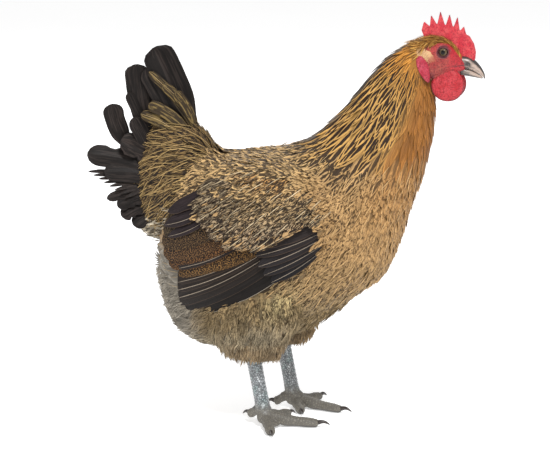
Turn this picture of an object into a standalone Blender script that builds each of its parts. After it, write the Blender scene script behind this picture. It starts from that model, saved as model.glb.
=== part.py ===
"""Green-legged partridge hen, standing, at life size.

Tables and sizes are in millimetres, and make_object turns them into Blender's metres.
+X is the way the hen faces, +Y is its left side and +Z is up, with the floor at zero.
"""

import math

import bmesh
import bpy
from mathutils import Vector

MM = 0.001
GAP = 0.3
RIGHT, LEFT = -1, 1
SIDES = ((RIGHT, "right"), (LEFT, "left"))
UP = Vector((0, 0, 1))

# Sections of the trunk from the top of the neck to the rump. Each row is a slanted section:
# its upper point (x, z), its lower point (x, z), its half width, and how top-heavy it is.
BODY = (
    (118, 383, 146, 346, 18, 0.00),
    (101, 369, 149, 327, 22, 0.00),
    (85, 352, 149, 308, 27, 0.00),
    (67, 328, 146, 288, 34, 0.00),
    (48, 307, 141, 266, 43, 0.00),
    (27, 291, 134, 243, 52, 0.02),
    (5, 282, 125, 217, 61, 0.04),
    (-15, 276, 116, 188, 68, 0.05),
    (-34, 273, 100, 152, 72, 0.05),
    (-51, 272, 74, 131, 74, 0.03),
    (-65, 274, 41, 106, 74, 0.00),
    (-76, 279, 6, 88, 72, -0.03),
    (-84, 283, -36, 77, 69, -0.06),
    (-92, 284, -74, 74, 62, -0.10),
    (-103, 276, -103, 86, 50, -0.14),
    (-114, 258, -120, 108, 34, -0.16),
    (-122, 230, -129, 138, 16, -0.10),
)
NECK_END = 5
BODY_SIDES = 24
NECK_RINGS = 2
TORSO_RINGS = 1.5

# The tail's body, from inside the rump to its blunt end. A slanted plane parts it into the
# coverts in front and the root block of the tail feathers behind.
TAIL_BASE = (
    (-62, 262, -84, 192, 38, 0.00),
    (-86, 292, -114, 186, 42, 0.00),
    (-104, 303, -131, 182, 36, 0.00),
    (-124, 302, -144, 190, 26, 0.00),
    (-140, 289, -152, 208, 14, 0.00),
    (-150, 262, -155, 232, 5, 0.00),
)
TAIL_SIDES, TAIL_RINGS = 14, 1.6
TAIL_PARTING = (Vector((-84, 0, 300)), Vector((-134, 0, 186)))
# Tail feathers of one side, from the top pair down, as (root x, root z, tip x, tip z, tip y, width).
RECTRICES = (
    (-105, 282, -126, 376, 7, 29),
    (-110, 281, -134, 371, 10, 27),
    (-115, 279, -149, 357, 14, 25),
    (-119, 273, -159, 334, 18, 22),
    (-123, 265, -180, 311, 23, 23),
    (-127, 256, -198, 267, 28, 22),
    (-129, 248, -191, 244, 33, 17),
    (-130, 238, -179, 221, 37, 17),
    (-131, 226, -161, 197, 38, 16),
)
RECTRIX_THICK = 1.2
RECTRIX_TILT = math.radians(20)
# Greater tail coverts lie outside the tail feathers: which feather each follows, and its share.
FAN_COVERTS = ((0, 0.50), (2, 0.42), (4, 0.42), (6, 0.50), (8, 0.60))
FAN_COVERT_OUT, FAN_COVERT_WIDTH = 4.0, 25
# Covert tiers on the tail base, as (row, feathers a side, length, width, tip lift).
TAIL_TIERS = ((0.6, 4, 36, 25, 2.6), (1.4, 4, 42, 26, 2.8))
TAIL_TIER_SPREAD = (math.radians(42), math.radians(138))

HEAD = (
    (118, 383, 146, 346, 18, 0.00),
    (128, 388, 151, 347, 17.5, 0.00),
    (140, 390, 156, 349, 16.8, 0.02),
    (153, 388, 163, 351, 16.0, 0.04),
    (164, 382, 169, 353, 13.0, 0.00),
    (173, 374, 174, 355, 9.6, 0.00),
    (179, 369, 178, 357, 7.2, 0.00),
)
HEAD_SIDES = 16
EYE = Vector((158, 11.6, 377))
EYE_RADIUS = 4.7
LID_RADIUS, LID_THICK = 5.3, 1.2
LID_OUT = 3.1

# The two halves of the bill, as (x, upper z, lower z, half width) along its length.
UPPER_BILL = (
    (173, 373.0, 362.2, 7.6),
    (181, 372.0, 360.2, 7.0),
    (187, 368.5, 357.8, 5.7),
    (192, 363.5, 355.0, 4.2),
    (195.6, 358.0, 352.0, 2.6),
    (197.4, 353.6, 349.6, 1.2),
)
LOWER_BILL = (
    (173, 361.6, 353.8, 6.8),
    (181, 359.6, 352.6, 6.0),
    (187, 357.2, 351.6, 4.6),
    (192, 354.3, 350.8, 3.0),
    (195, 351.8, 350.4, 1.3),
)
BILL_SIDES = 12
NOSTRIL = Vector((182.5, 7.0, 365.6))
NOSTRIL_SIZE = (2.4, 1.6, 0.9)
GAPE = Vector((170.5, 9.6, 362.6))
GAPE_SIZE = (5.0, 2.6, 0.5)

# The comb's outline in side view, with seven points, and its half thickness low and high.
COMB_OUTLINE = (
    (143, 384), (135, 391), (133, 397), (136, 405), (142, 400), (144, 410.5), (149.5, 402.5),
    (153, 414), (157.5, 401.5), (162, 412), (165, 400.5), (170, 409.5), (171.5, 397.5),
    (176.5, 401), (178, 393), (182.5, 392), (187, 384), (189.5, 376), (188.5, 369), (184, 366),
    (176, 369), (168, 376), (158, 383),
)
COMB_LOW_HALF, COMB_TOP_HALF = 3.2, 0.9
COMB_LOW_Z, COMB_TOP_Z = 386, 413

WATTLE = Vector((163, 9.0, 344.5))
WATTLE_SIZE = (16.4, 2.7, 16.2)
EARLOBE = Vector((140.5, 15.8, 360))
EARLOBE_SIZE = (4.6, 3.0, 13.5)
EARLOBE_LEAN = math.radians(-24)

# The folded wing lies on a tilted, slightly squared ellipsoid outside the trunk.
WING_X, WING_Z = -18, 195
WING_TILT = math.radians(28)
WING_HALF_LENGTH, WING_HALF_ABOVE, WING_HALF_BELOW, WING_OUT = 152, 92, 106, 85
WING_POWER = 2.2
WING_DEPTH = 60
WING_SHINGLE, WING_VANE_THICK = 2.3, 0.8
# The wing bow's outline in side view, and its covert tiers.
BOW_OUTLINE = (
    (60, 222), (47, 243), (22, 257), (-8, 263), (-38, 262), (-60, 250), (-72, 232),
    (-70, 208), (-50, 194), (-24, 190), (4, 190), (30, 195), (52, 205),
)
BOW_RIM_LIFT, BOW_MID_LIFT = -0.6, 2.6
# The greater wing coverts end at these places.
COVERT_TIPS = ((-80, 238), (-84, 220), (-74, 201), (-52, 187), (-26, 180), (1, 178), (26, 182))
COVERT_LENGTH, COVERT_WIDTH, COVERT_LIFT = 34, 24, 0.5
# Flight feathers as (root x, root z, tip x, tip z, width), the uppermost first.
SECONDARIES = (
    (-48, 236, -99, 213, 27),
    (-43, 222, -108, 196, 27),
    (-36, 210, -108, 180, 26),
    (-26, 200, -103, 166, 23),
    (-14, 194, -97, 155, 20),
)
SECONDARY_PAD = (
    (-42, 240), (-69, 236), (-82, 224), (-80, 206), (-66, 192), (-42, 182), (-12, 178), (-6, 196),
)
PRIMARIES = (
    (0, 190, -95, 147, 19),
    (9, 186, -94, 138, 18),
    (18, 180, -92, 129, 17),
    (25, 173, -80, 124, 16),
    (30, 165, -58, 123, 15),
)
PRIMARY_PAD = ((-8, 187), (-10, 172), (2, 160), (22, 154), (34, 162), (32, 180), (16, 188))
ALULA = (
    (50, 202, 4, 182, 16),
    (56, 194, 14, 168, 16),
    (57, 186, 24, 157, 14),
)
ALULA_PAD = ((34, 192), (38, 178), (48, 174), (58, 182), (64, 194), (58, 202), (44, 202))

# The feathered thigh as level sections: z, centre x, centre y, half length, half breadth.
THIGH = (
    (168, -16, 38, 44, 24),
    (135, -20, 42, 48, 28),
    (108, -24, 43, 45, 28),
    (88, -27, 41, 37, 24),
    (74, -28, 39, 25, 18),
    (66, -27, 38, 14, 11),
)
THIGH_SIDES, THIGH_RINGS = 18, 9
LEG_Y = 38
FORWARD_STEP = {RIGHT: 0, LEFT: 14}
HOCK = Vector((-27, LEG_Y, 92))
ANKLE = Vector((-15, LEG_Y, 18))
SHANK_DEPTH, SHANK_BREADTH = 6.8, 5.6
SHANK_SIDES, SCUTES = 10, 9
SCUTE_RISE = 0.35
BALL = Vector((-12.5, LEG_Y, 10.5))
BALL_SIZE = (9.5, 8.5, 8.5)
# Each toe: its heading from straight ahead, outwards positive, its length and its half width.
TOES = {
    RIGHT: {"back": (207, 21, 4.2), "inner": (-50, 31, 4.5), "middle": (-6, 53, 5.0), "outer": (70, 39, 4.5)},
    LEFT: {"back": (184, 21, 4.2), "inner": (-66, 31, 4.5), "middle": (-14, 53, 5.0), "outer": (60, 41, 4.5)},
}
TOE_SIDES = 9
CLAW_LENGTH = {"back": 9, "inner": 9, "middle": 12, "outer": 10}
CLAW_RADIUS, CLAW_SIDES = 2.3, 6

# Hackle tiers down the neck, as (row, feathers round the neck, length, width).
HACKLE_TIERS = ((1.3, 9, 40, 14), (2.7, 11, 44, 16), (4.0, 13, 48, 18))
HACKLE_LIFTS = (-1.4, 2.1)

FINISHES = {
    "plumage": ((0.33, 0.22, 0.10), 0.85),
    "breast": ((0.50, 0.31, 0.13), 0.85),
    "fluff": ((0.36, 0.29, 0.19), 0.95),
    "dark_feather": ((0.045, 0.038, 0.036), 0.55),
    "barred_feather": ((0.17, 0.10, 0.05), 0.7),
    "hackle": ((0.48, 0.29, 0.09), 0.7),
    "red_skin": ((0.62, 0.045, 0.05), 0.55),
    "horn": ((0.42, 0.36, 0.29), 0.4),
    "eye": ((0.16, 0.11, 0.05), 0.08),
    "leg_scale": ((0.15, 0.17, 0.17), 0.45),
    "claw": ((0.05, 0.045, 0.04), 0.35),
}


def clear_scene():
    """Removes whatever the scene starts with."""
    for old in list(bpy.data.objects):
        bpy.data.objects.remove(old, do_unlink=True)


def material(name):
    """The named finish as a Principled material, made once."""
    found = bpy.data.materials.get(name)
    if found:
        return found
    colour, roughness = FINISHES[name]
    made = bpy.data.materials.new(name)
    made.use_nodes = True
    shader = made.node_tree.nodes["Principled BSDF"]
    shader.inputs["Base Color"].default_value = (*colour, 1)
    shader.inputs["Roughness"].default_value = roughness
    return made


def make_object(name, points, faces, finish):
    """A mesh object from points in millimetres, with its faces turned outwards."""
    mesh = bpy.data.meshes.new(name)
    mesh.from_pydata([Vector(p) * MM for p in points], [], faces)
    shape = bmesh.new()
    shape.from_mesh(mesh)
    bmesh.ops.recalc_face_normals(shape, faces=shape.faces)
    shape.to_mesh(mesh)
    shape.free()
    mesh.materials.append(material(finish))
    made = bpy.data.objects.new(name, mesh)
    parts.objects.link(made)
    return made


def loft(name, rings, finish, thin=False):
    """A closed skin over rings of equal count, capped at both ends.

    A thin loft's rings hold their outer points first, and its triangles are alike on both faces.
    """
    count = len(rings[0])
    points = [p for ring in rings for p in ring]
    faces = []
    for i in range(len(rings) - 1):
        for j in range(count):
            a, b = i * count + j, i * count + (j + 1) % count
            c, d = b + count, a + count
            if thin and j >= count // 2:
                faces += [(a, b, d), (b, c, d)]
            else:
                faces += [(a, b, c), (a, c, d)]
    for first, ring in ((0, rings[0]), ((len(rings) - 1) * count, rings[-1])):
        points.append(sum(ring, Vector()) / count)
        faces += [(first + j, first + (j + 1) % count, len(points) - 1) for j in range(count)]
    return make_object(name, points, faces, finish)


def spline_row(rows, at):
    """The table's row at a fractional index, on a Catmull-Rom curve through the rows."""
    i = min(int(at), len(rows) - 2)
    t = at - i
    before, a, b, after = (rows[max(0, min(len(rows) - 1, i + k))] for k in (-1, 0, 1, 2))
    return [
        0.5 * (2 * q + (r - p) * t + (2 * p - 5 * q + 4 * r - s) * t * t + (3 * q - p - 3 * r + s) * t**3)
        for p, q, r, s in zip(before, a, b, after)
    ]


def section_point(row, angle):
    """A point of a slanted section, from its top at angle 0 down the left side."""
    top_x, top_z, low_x, low_z, half, heavy = row
    down = (1 - math.cos(angle)) / 2
    out = half * math.sin(angle) * (1 + heavy * math.cos(angle))
    return Vector((top_x + (low_x - top_x) * down, out, top_z + (low_z - top_z) * down))


def surface_normal(rows, at, angle):
    """The outward normal of a lofted table at one place."""
    step = 0.02
    last = len(rows) - 1
    along = section_point(spline_row(rows, min(last, at + step)), angle)
    along -= section_point(spline_row(rows, max(0, at - step)), angle)
    row = spline_row(rows, at)
    around = section_point(row, angle + step) - section_point(row, angle - step)
    normal = around.cross(along).normalized()
    middle = (section_point(row, 0) + section_point(row, math.pi)) / 2
    return normal if normal.dot(section_point(row, angle) - middle) > 0 else -normal


def rings_of(rows, start, end, per_row, sides, grow=0.0):
    """Rings along a lofted table from one index to another, moved out by grow."""
    count = max(1, round((end - start) * per_row))
    rings = []
    for i in range(count + 1):
        at = start + (end - start) * i / count
        row = spline_row(rows, at)
        ring = []
        for k in range(sides):
            angle = 2 * math.pi * k / sides
            point = section_point(row, angle)
            if grow:
                point += surface_normal(rows, at, angle) * grow
            ring.append(point)
        rings.append(ring)
    return rings


def closed_object(curve_or_mesh):
    """The object as a plain mesh with its modifiers applied and its seams welded."""
    graph = bpy.context.evaluated_depsgraph_get()
    mesh = bpy.data.meshes.new_from_object(curve_or_mesh.evaluated_get(graph))
    made = bpy.data.objects.new(curve_or_mesh.name + "_mesh", mesh)
    made.matrix_world = curve_or_mesh.matrix_world
    shape = bmesh.new()
    shape.from_mesh(mesh)
    bmesh.ops.remove_doubles(shape, verts=shape.verts, dist=0.00001)
    shape.to_mesh(mesh)
    shape.free()
    parts.objects.link(made)
    bpy.data.objects.remove(curve_or_mesh, do_unlink=True)
    return made


def ball(name, centre, size, finish, segments=16, rings=10, lean=0.0):
    """An ellipsoid with the given half sizes, leaned about Y."""
    bpy.ops.mesh.primitive_uv_sphere_add(segments=segments, ring_count=rings, radius=1)
    made = bpy.context.object
    made.name = name
    turn = Vector((math.cos(lean), 0, -math.sin(lean))), Vector((math.sin(lean), 0, math.cos(lean)))
    for v in made.data.vertices:
        x, y, z = v.co.x * size[0], v.co.y * size[1], v.co.z * size[2]
        v.co = (Vector(centre) + turn[0] * x + Vector((0, y, 0)) + turn[1] * z) * MM
    made.data.materials.append(material(finish))
    for collection in list(made.users_collection):
        collection.objects.unlink(made)
    parts.objects.link(made)
    return made


def apply_boolean(target, operation, solver="EXACT", **operand):
    """Runs one Boolean on the target and applies it."""
    bpy.context.view_layer.update()
    modifier = target.modifiers.new("join", "BOOLEAN")
    modifier.operation = operation
    modifier.solver = solver
    for key, value in operand.items():
        setattr(modifier, key, value)
    graph = bpy.context.evaluated_depsgraph_get()
    mesh = bpy.data.meshes.new_from_object(target.evaluated_get(graph))
    old = target.data
    target.modifiers.clear()
    target.data = mesh
    mesh.name = target.name
    bpy.data.meshes.remove(old)


def join_pieces(target, pieces):
    """Unites the pieces with the target in one Boolean union."""
    group = bpy.data.collections.new(target.name + "_pieces")
    bpy.context.scene.collection.children.link(group)
    for piece in pieces:
        parts.objects.unlink(piece)
        group.objects.link(piece)
    apply_boolean(target, "UNION", "MANIFOLD", operand_type="COLLECTION", collection=group)
    for piece in pieces:
        bpy.data.objects.remove(piece, do_unlink=True)
    bpy.data.collections.remove(group)
    return target


def clip(target, point, normal):
    """Keeps what lies on the normal's side of a plane, and closes the cut."""
    shape = bmesh.new()
    shape.from_mesh(target.data)
    geometry = list(shape.verts) + list(shape.edges) + list(shape.faces)
    bmesh.ops.bisect_plane(shape, geom=geometry, plane_co=point * MM, plane_no=normal, clear_inner=True)
    filled = bmesh.ops.holes_fill(shape, edges=[e for e in shape.edges if e.is_boundary])
    bmesh.ops.triangulate(shape, faces=filled["faces"])
    bmesh.ops.recalc_face_normals(shape, faces=shape.faces)
    shape.to_mesh(target.data)
    shape.free()
    return target


def grown_copy(source, grow):
    """A copy of the object with its surface moved out by grow."""
    copy = source.copy()
    copy.data = source.data.copy()
    copy.name = source.name + "_cutter"
    normals = [v.normal.copy() for v in copy.data.vertices]
    for v, normal in zip(copy.data.vertices, normals):
        v.co += normal * grow * MM
    parts.objects.link(copy)
    copy.hide_render = True
    copy.display_type = "WIRE"
    return copy


def cut_clear(target, others, solver="EXACT"):
    """Cuts the target back from the others, so that a thin gap parts them."""
    for other in others:
        cutter = grown_copy(other, GAP)
        apply_boolean(target, "DIFFERENCE", solver, operand_type="OBJECT", object=cutter)
        bpy.data.objects.remove(cutter, do_unlink=True)
    return keep_largest(target)


def volume_of(faces):
    """The signed volume under a set of faces."""
    total = 0.0
    for face in faces:
        corners = [v.co for v in face.verts]
        for k in range(1, len(corners) - 1):
            total += corners[0].dot(corners[k].cross(corners[k + 1]))
    return total / 6


def keep_largest(target):
    """Keeps the object's largest closed surface and drops the rest."""
    shape = bmesh.new()
    shape.from_mesh(target.data)
    left, islands = set(shape.faces), []
    while left:
        edge_front, island = [left.pop()], set()
        while edge_front:
            face = edge_front.pop()
            island.add(face)
            for edge in face.edges:
                for near in edge.link_faces:
                    if near in left:
                        left.remove(near)
                        edge_front.append(near)
        islands.append(island)
    islands.sort(key=volume_of)
    dropped = [f for island in islands[:-1] for f in island]
    bmesh.ops.delete(shape, geom=dropped, context="FACES")
    loose = [v for v in shape.verts if not v.link_faces]
    bmesh.ops.delete(shape, geom=loose, context="VERTS")
    shape.to_mesh(target.data)
    shape.free()
    return target


def moved_to(target, side):
    """Reflects a piece built for the right side if it belongs on the left."""
    if side == LEFT:
        for v in target.data.vertices:
            v.co.y = -v.co.y
        target.data.flip_normals()
    return target


def vane_ring(point, across, out, width, thick, crown):
    """Points round a feather: its outer face, with a raised shaft if it is crowned, then its inner face."""
    edge = across * (width / 2)
    if not crown:
        half = out * (thick / 2)
        return [point - edge + half, point + edge + half, point + edge - half, point - edge - half]
    rise = out * (width * crown)
    half, half_edge = out * (thick / 2), out * (thick * 0.35)
    return [
        point - edge + half_edge, point + rise + half, point + edge + half_edge,
        point + edge - half_edge, point + rise - half, point - edge - half_edge,
    ]


# Feather outlines, as rows of (share of the length, share of the width).
FEATHER_SHAPE = ((0.0, 0.4), (0.45, 0.9), (0.8, 1.0), (0.94, 0.72), (1.0, 0.3))
SHORT_SHAPE = ((0.0, 0.6), (0.5, 1.0), (0.85, 0.8), (1.0, 0.3))
HACKLE_SHAPE = ((0.0, 0.6), (0.4, 1.0), (0.75, 0.7), (1.0, 0.16))


def vane(name, frames, shape, width, thick, finish, crown=0.10):
    """A feather on frames of (point, across, out), one for each row of its shape."""
    rings = [vane_ring(p, a, o, width * s, thick, crown) for (p, a, o), (_, s) in zip(frames, shape)]
    return loft(name, rings, finish, thin=True)


def vane_on_loft(rows, at, angle, length, width, thick, lifts, shape, finish, drift=0.0):
    """A feather lying along a lofted table, its root sunk and its tip raised by the lifts."""
    frames, walked, last = [], 0.0, len(rows) - 1
    here = section_point(spline_row(rows, at), angle)
    step = 0.02
    targets = [t * length for t, _ in shape]
    position, turn = at, angle
    for k, target in enumerate(targets):
        while walked < target and position + step < last:
            position += step
            turn += drift * step
            there = section_point(spline_row(rows, position), turn)
            walked += (there - here).length
            here = there
        back = section_point(spline_row(rows, max(0, position - step)), turn)
        along = (here - back).normalized()
        if walked < target:
            here = here + along * (target - walked)
            walked = target
        out = surface_normal(rows, min(position, last - 0.05), turn)
        share = shape[k][0]
        lift = lifts[0] + (lifts[1] - lifts[0]) * min(1.0, share * 1.5)
        across = out.cross(along).normalized()
        frames.append((here + out * lift, across, out))
    return vane("vane", frames, shape, width, thick, finish, crown=0)


def wing_side(x, z):
    """How far the folded wing's surface stands out from the hen's middle."""
    dx, dz = x - WING_X, z - WING_Z
    along = -dx * math.cos(WING_TILT) - dz * math.sin(WING_TILT)
    across = -dx * math.sin(WING_TILT) + dz * math.cos(WING_TILT)
    half = WING_HALF_ABOVE if across > 0 else WING_HALF_BELOW
    inside = 1 - abs(along / WING_HALF_LENGTH) ** WING_POWER - abs(across / half) ** WING_POWER
    return WING_OUT * math.sqrt(max(inside, 0.04))


def wing_point(x, z, lift):
    """A point of the right wing, lifted off the wing's surface."""
    return Vector((x, RIGHT * (wing_side(x, z) + lift), z))


def wing_vane(feather, lift, finish, bow=0.06, shape=FEATHER_SHAPE):
    """A flight feather between two places of the wing, its lower edge over its neighbour."""
    x0, z0, x1, z1, width = feather
    start, end = Vector((x0, 0, z0)), Vector((x1, 0, z1))
    axis = end - start
    across = Vector((-axis.z, 0, axis.x)).normalized()
    if across.z > 0:
        across = -across
    rings = []
    for share, wide in shape:
        sag = across * (bow * axis.length * math.sin(math.pi * share))
        middle = start + axis * share + sag
        ring = []
        for edge in (-0.5, 0.0, 0.5):
            place = middle + across * (edge * width * wide)
            ring.append((place, lift + WING_SHINGLE * (edge + 0.5) * wide))
        outer = [wing_point(p.x, p.z, up + WING_VANE_THICK / 2) for p, up in ring]
        inner = [wing_point(p.x, p.z, up - WING_VANE_THICK / 2) for p, up in reversed(ring)]
        rings.append(outer + inner)
    return loft("flight", rings, finish, thin=True)


def wing_pad(name, outline, rim_lift, mid_lift, finish, rounds=3):
    """A solid pad of the wing inside an outline, crowned, and deep enough to be cut by the trunk."""
    count = len(outline)
    centre = Vector((sum(p[0] for p in outline) / count, 0, sum(p[1] for p in outline) / count))
    edge = []
    for k in range(count * 2):
        a, b = Vector(outline[k // 2]), Vector(outline[(k // 2 + 1) % count])
        before, after = Vector(outline[k // 2 - 1]), Vector(outline[(k // 2 + 2) % count])
        place = a if k % 2 == 0 else (a + b) * 0.5625 - (before + after) * 0.0625
        edge.append(Vector((place.x, 0, place.y)))
    points, faces = [], []
    for r in range(rounds, 0, -1):
        share = r / rounds
        lift = mid_lift + (rim_lift - mid_lift) * share**3
        for p in edge:
            place = centre + (p - centre) * share
            points.append(wing_point(place.x, place.z, lift))
    sides = len(edge)
    points.append(wing_point(centre.x, centre.z, mid_lift))
    top = len(points) - 1
    for p in edge:
        points.append(Vector((p.x, RIGHT * (wing_side(p.x, p.z) - WING_DEPTH), p.z)))
    floor = len(points)
    points.append(Vector((centre.x, RIGHT * (wing_side(centre.x, centre.z) - WING_DEPTH), centre.z)))
    for r in range(rounds - 1):
        for k in range(sides):
            a, b = r * sides + k, r * sides + (k + 1) % sides
            faces.append((a, b, b + sides, a + sides))
    inner = (rounds - 1) * sides
    low = top + 1
    for k in range(sides):
        n = (k + 1) % sides
        faces.append((inner + k, inner + n, top))
        faces.append((k, low + k, low + n, n))
        faces.append((low + k, floor, low + n))
    return make_object(name, points, faces, finish)


def build_trunk():
    """The torso and the neck, parted by a thin flat cut at the neck's root."""
    neck_rings = rings_of(BODY, 0, NECK_END, NECK_RINGS, BODY_SIDES)
    torso_rings = rings_of(BODY, NECK_END, len(BODY) - 1, TORSO_RINGS, BODY_SIDES)
    first = torso_rings[0]
    across = (first[BODY_SIDES // 2] - first[0]).normalized()
    forward = across.cross(Vector((0, 1, 0))).normalized()
    away = forward if forward.dot(torso_rings[1][0] - first[0]) > 0 else -forward
    torso_rings[0] = [p + away * GAP for p in first]
    torso = loft("torso", torso_rings, "breast")
    neck = add_hackle(loft("neck", neck_rings, "hackle"))
    return torso, neck


def add_hackle(neck):
    """Tiers of long pointed neck feathers that lie down over the shoulders."""
    pieces = []
    for tier, (at, count, length, width) in enumerate(HACKLE_TIERS):
        for k in range(count):
            angle = 2 * math.pi * (k + 0.5 * (tier % 2)) / count
            front = (1 - math.cos(angle)) / 2
            reach = length * (1 - 0.35 * front**2)
            pieces.append(
                vane_on_loft(BODY, at, angle, reach, width, 1.2, HACKLE_LIFTS, HACKLE_SHAPE, "hackle")
            )
    join_pieces(neck, pieces)
    return keep_largest(neck)


def build_head():
    """The head with its lids, mouth line and sockets, and the parts set on it."""
    last = len(HEAD) - 1
    rings = rings_of(HEAD, 0, last, 2, HEAD_SIDES)
    across = (rings[0][HEAD_SIDES // 2] - rings[0][0]).normalized()
    away = Vector((0, 1, 0)).cross(across).normalized()
    away = away if away.x > 0 else -away
    rings[0] = [p + away * GAP for p in rings[0]]
    head = loft("head", rings, "red_skin")
    lids, sockets = [], []
    for side, _ in SIDES:
        centre = Vector((EYE.x, side * (EYE.y + LID_OUT), EYE.z))
        bpy.ops.mesh.primitive_torus_add(
            major_radius=LID_RADIUS * MM, minor_radius=LID_THICK * MM, major_segments=12,
            minor_segments=5, location=centre * MM, rotation=(math.pi / 2, 0, 0),
        )
        lid = closed_object(bpy.context.object)
        lid.data.transform(lid.matrix_world)
        lid.matrix_world.identity()
        lids.append(lid)
        eye = Vector((EYE.x, side * EYE.y, EYE.z))
        sockets.append(ball("socket", eye, [EYE_RADIUS + GAP] * 3, "red_skin", 14, 7))
        gape = Vector((GAPE.x, side * GAPE.y, GAPE.z))
        sockets.append(ball("gape", gape, GAPE_SIZE, "red_skin", 10, 6, lean=math.radians(12)))
    join_pieces(head, lids)
    for cutter in sockets:
        apply_boolean(head, "DIFFERENCE", operand_type="OBJECT", object=cutter)
        bpy.data.objects.remove(cutter, do_unlink=True)
    return keep_largest(head)


def build_bill(head):
    """The upper and lower bill, cut to the head, with two nostrils."""
    halves = []
    for name, table in (("bill_upper", UPPER_BILL), ("bill_lower", LOWER_BILL)):
        rings = []
        for x, top, low, half in table:
            middle, tall = (top + low) / 2, (top - low) / 2
            ring = []
            for k in range(BILL_SIDES):
                angle = 2 * math.pi * k / BILL_SIDES
                ring.append(Vector((x, half * math.sin(angle), middle + tall * math.cos(angle))))
            rings.append(ring)
        halves.append(cut_clear(loft(name, rings, "horn"), [head]))
    upper = halves[0]
    for side, _ in SIDES:
        place = Vector((NOSTRIL.x, side * NOSTRIL.y, NOSTRIL.z))
        hole = ball("nostril", place, NOSTRIL_SIZE, "horn", 10, 6, lean=math.radians(20))
        apply_boolean(upper, "DIFFERENCE", operand_type="OBJECT", object=hole)
        bpy.data.objects.remove(hole, do_unlink=True)
    return keep_largest(upper), halves[1]


def build_comb(head, bill):
    """The single comb, a plate that thins towards its points."""
    points, count = [], len(COMB_OUTLINE)
    for side in (RIGHT, LEFT):
        for x, z in COMB_OUTLINE:
            share = min(1, max(0, (z - COMB_LOW_Z) / (COMB_TOP_Z - COMB_LOW_Z)))
            half = COMB_LOW_HALF + (COMB_TOP_HALF - COMB_LOW_HALF) * share
            points.append(Vector((x, side * half, z)))
    right = list(range(count))
    left = list(range(count, 2 * count))
    faces = [right, left[::-1]]
    faces += [(k, (k + 1) % count, count + (k + 1) % count, count + k) for k in range(count)]
    comb = make_object("comb", points, faces, "red_skin")
    flat = bmesh.new()
    flat.from_mesh(comb.data)
    bmesh.ops.triangulate(flat, faces=flat.faces)
    flat.to_mesh(comb.data)
    flat.free()
    return cut_clear(comb, [head, bill])


def build_face(head, neck, bills):
    """Wattles, earlobes and eyes of both sides."""
    made = []
    for side, word in SIDES:
        wattle = ball(
            f"wattle_{word}", Vector((WATTLE.x, side * WATTLE.y, WATTLE.z)), WATTLE_SIZE, "red_skin", 16, 6
        )
        made.append(cut_clear(wattle, [head, *bills]))
        lobe = ball(
            f"earlobe_{word}", Vector((EARLOBE.x, side * EARLOBE.y, EARLOBE.z)), EARLOBE_SIZE, "red_skin",
            12, 7, lean=EARLOBE_LEAN,
        )
        made.append(cut_clear(lobe, [head, neck, wattle]))
        eye = Vector((EYE.x, side * EYE.y, EYE.z))
        made.append(ball(f"eye_{word}", eye, [EYE_RADIUS] * 3, "eye", 14, 7))
    return made


def fan_frames(feather, k, side, length, extra, shape):
    """Frames along one feather of the tail's fan, or along a covert outside it."""
    root_x, root_z, tip_x, tip_z, tip_y, _ = feather
    outward = Vector((0, side, 0))
    root, tip = Vector((root_x, 0, root_z)), Vector((tip_x, 0, tip_z))
    along = (tip - root).normalized()
    lower = Vector((-along.z, 0, along.x))
    across = lower * math.cos(RECTRIX_TILT) + outward * math.sin(RECTRIX_TILT)
    out = outward * math.cos(RECTRIX_TILT) - lower * math.sin(RECTRIX_TILT)
    root_y = 6.2 + 1.0 * k + extra * 1.8
    frames = []
    for share, _ in shape:
        reach = share * length
        y = root_y + (tip_y + extra - root_y) * reach**1.3
        frames.append((root.lerp(tip, reach) + outward * y, across, out))
    return frames


def build_tail(torso):
    """The tail base with its coverts, and the fan of tail feathers on a thin cap round it."""
    rings = rings_of(TAIL_BASE, 0, len(TAIL_BASE) - 1, TAIL_RINGS, TAIL_SIDES)
    high, low = TAIL_PARTING
    front = (low - high).cross(Vector((0, 1, 0))).normalized()
    front = front if front.x > 0 else -front
    base = clip(loft("tail_coverts", rings, "plumage"), high + front * (GAP / 2), front)
    tail = clip(loft("tail", rings, "dark_feather"), high - front * (GAP / 2), -front)
    feathers, coverts = [], []
    for side, _ in SIDES:
        outward = Vector((0, side, 0))
        for k, feather in enumerate(RECTRICES):
            frames = fan_frames(feather, k, side, 1.0, 0, FEATHER_SHAPE)
            feathers.append(vane("rectrix", frames, FEATHER_SHAPE, feather[-1], RECTRIX_THICK, "dark_feather", 0))
        for k, share in FAN_COVERTS:
            frames = fan_frames(RECTRICES[k], k, side, share, FAN_COVERT_OUT, SHORT_SHAPE)
            feathers.append(vane("covert", frames, SHORT_SHAPE, FAN_COVERT_WIDTH, 1.2, "dark_feather", 0))
        for tier, (at, count, length, width, lift) in enumerate(TAIL_TIERS):
            for k in range(count):
                low, high = TAIL_TIER_SPREAD
                angle = side * (low + (high - low) * (k + 0.5 * (tier % 2)) / (count - 0.5))
                coverts.append(
                    vane_on_loft(TAIL_BASE, at, angle, length, width, 1.2, (-1.4, lift), SHORT_SHAPE, "plumage")
                )
    join_pieces(tail, feathers)
    join_pieces(base, coverts)
    cut_clear(base, [torso], "MANIFOLD")
    cut_clear(tail, [base, torso], "MANIFOLD")
    return base, tail


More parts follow.
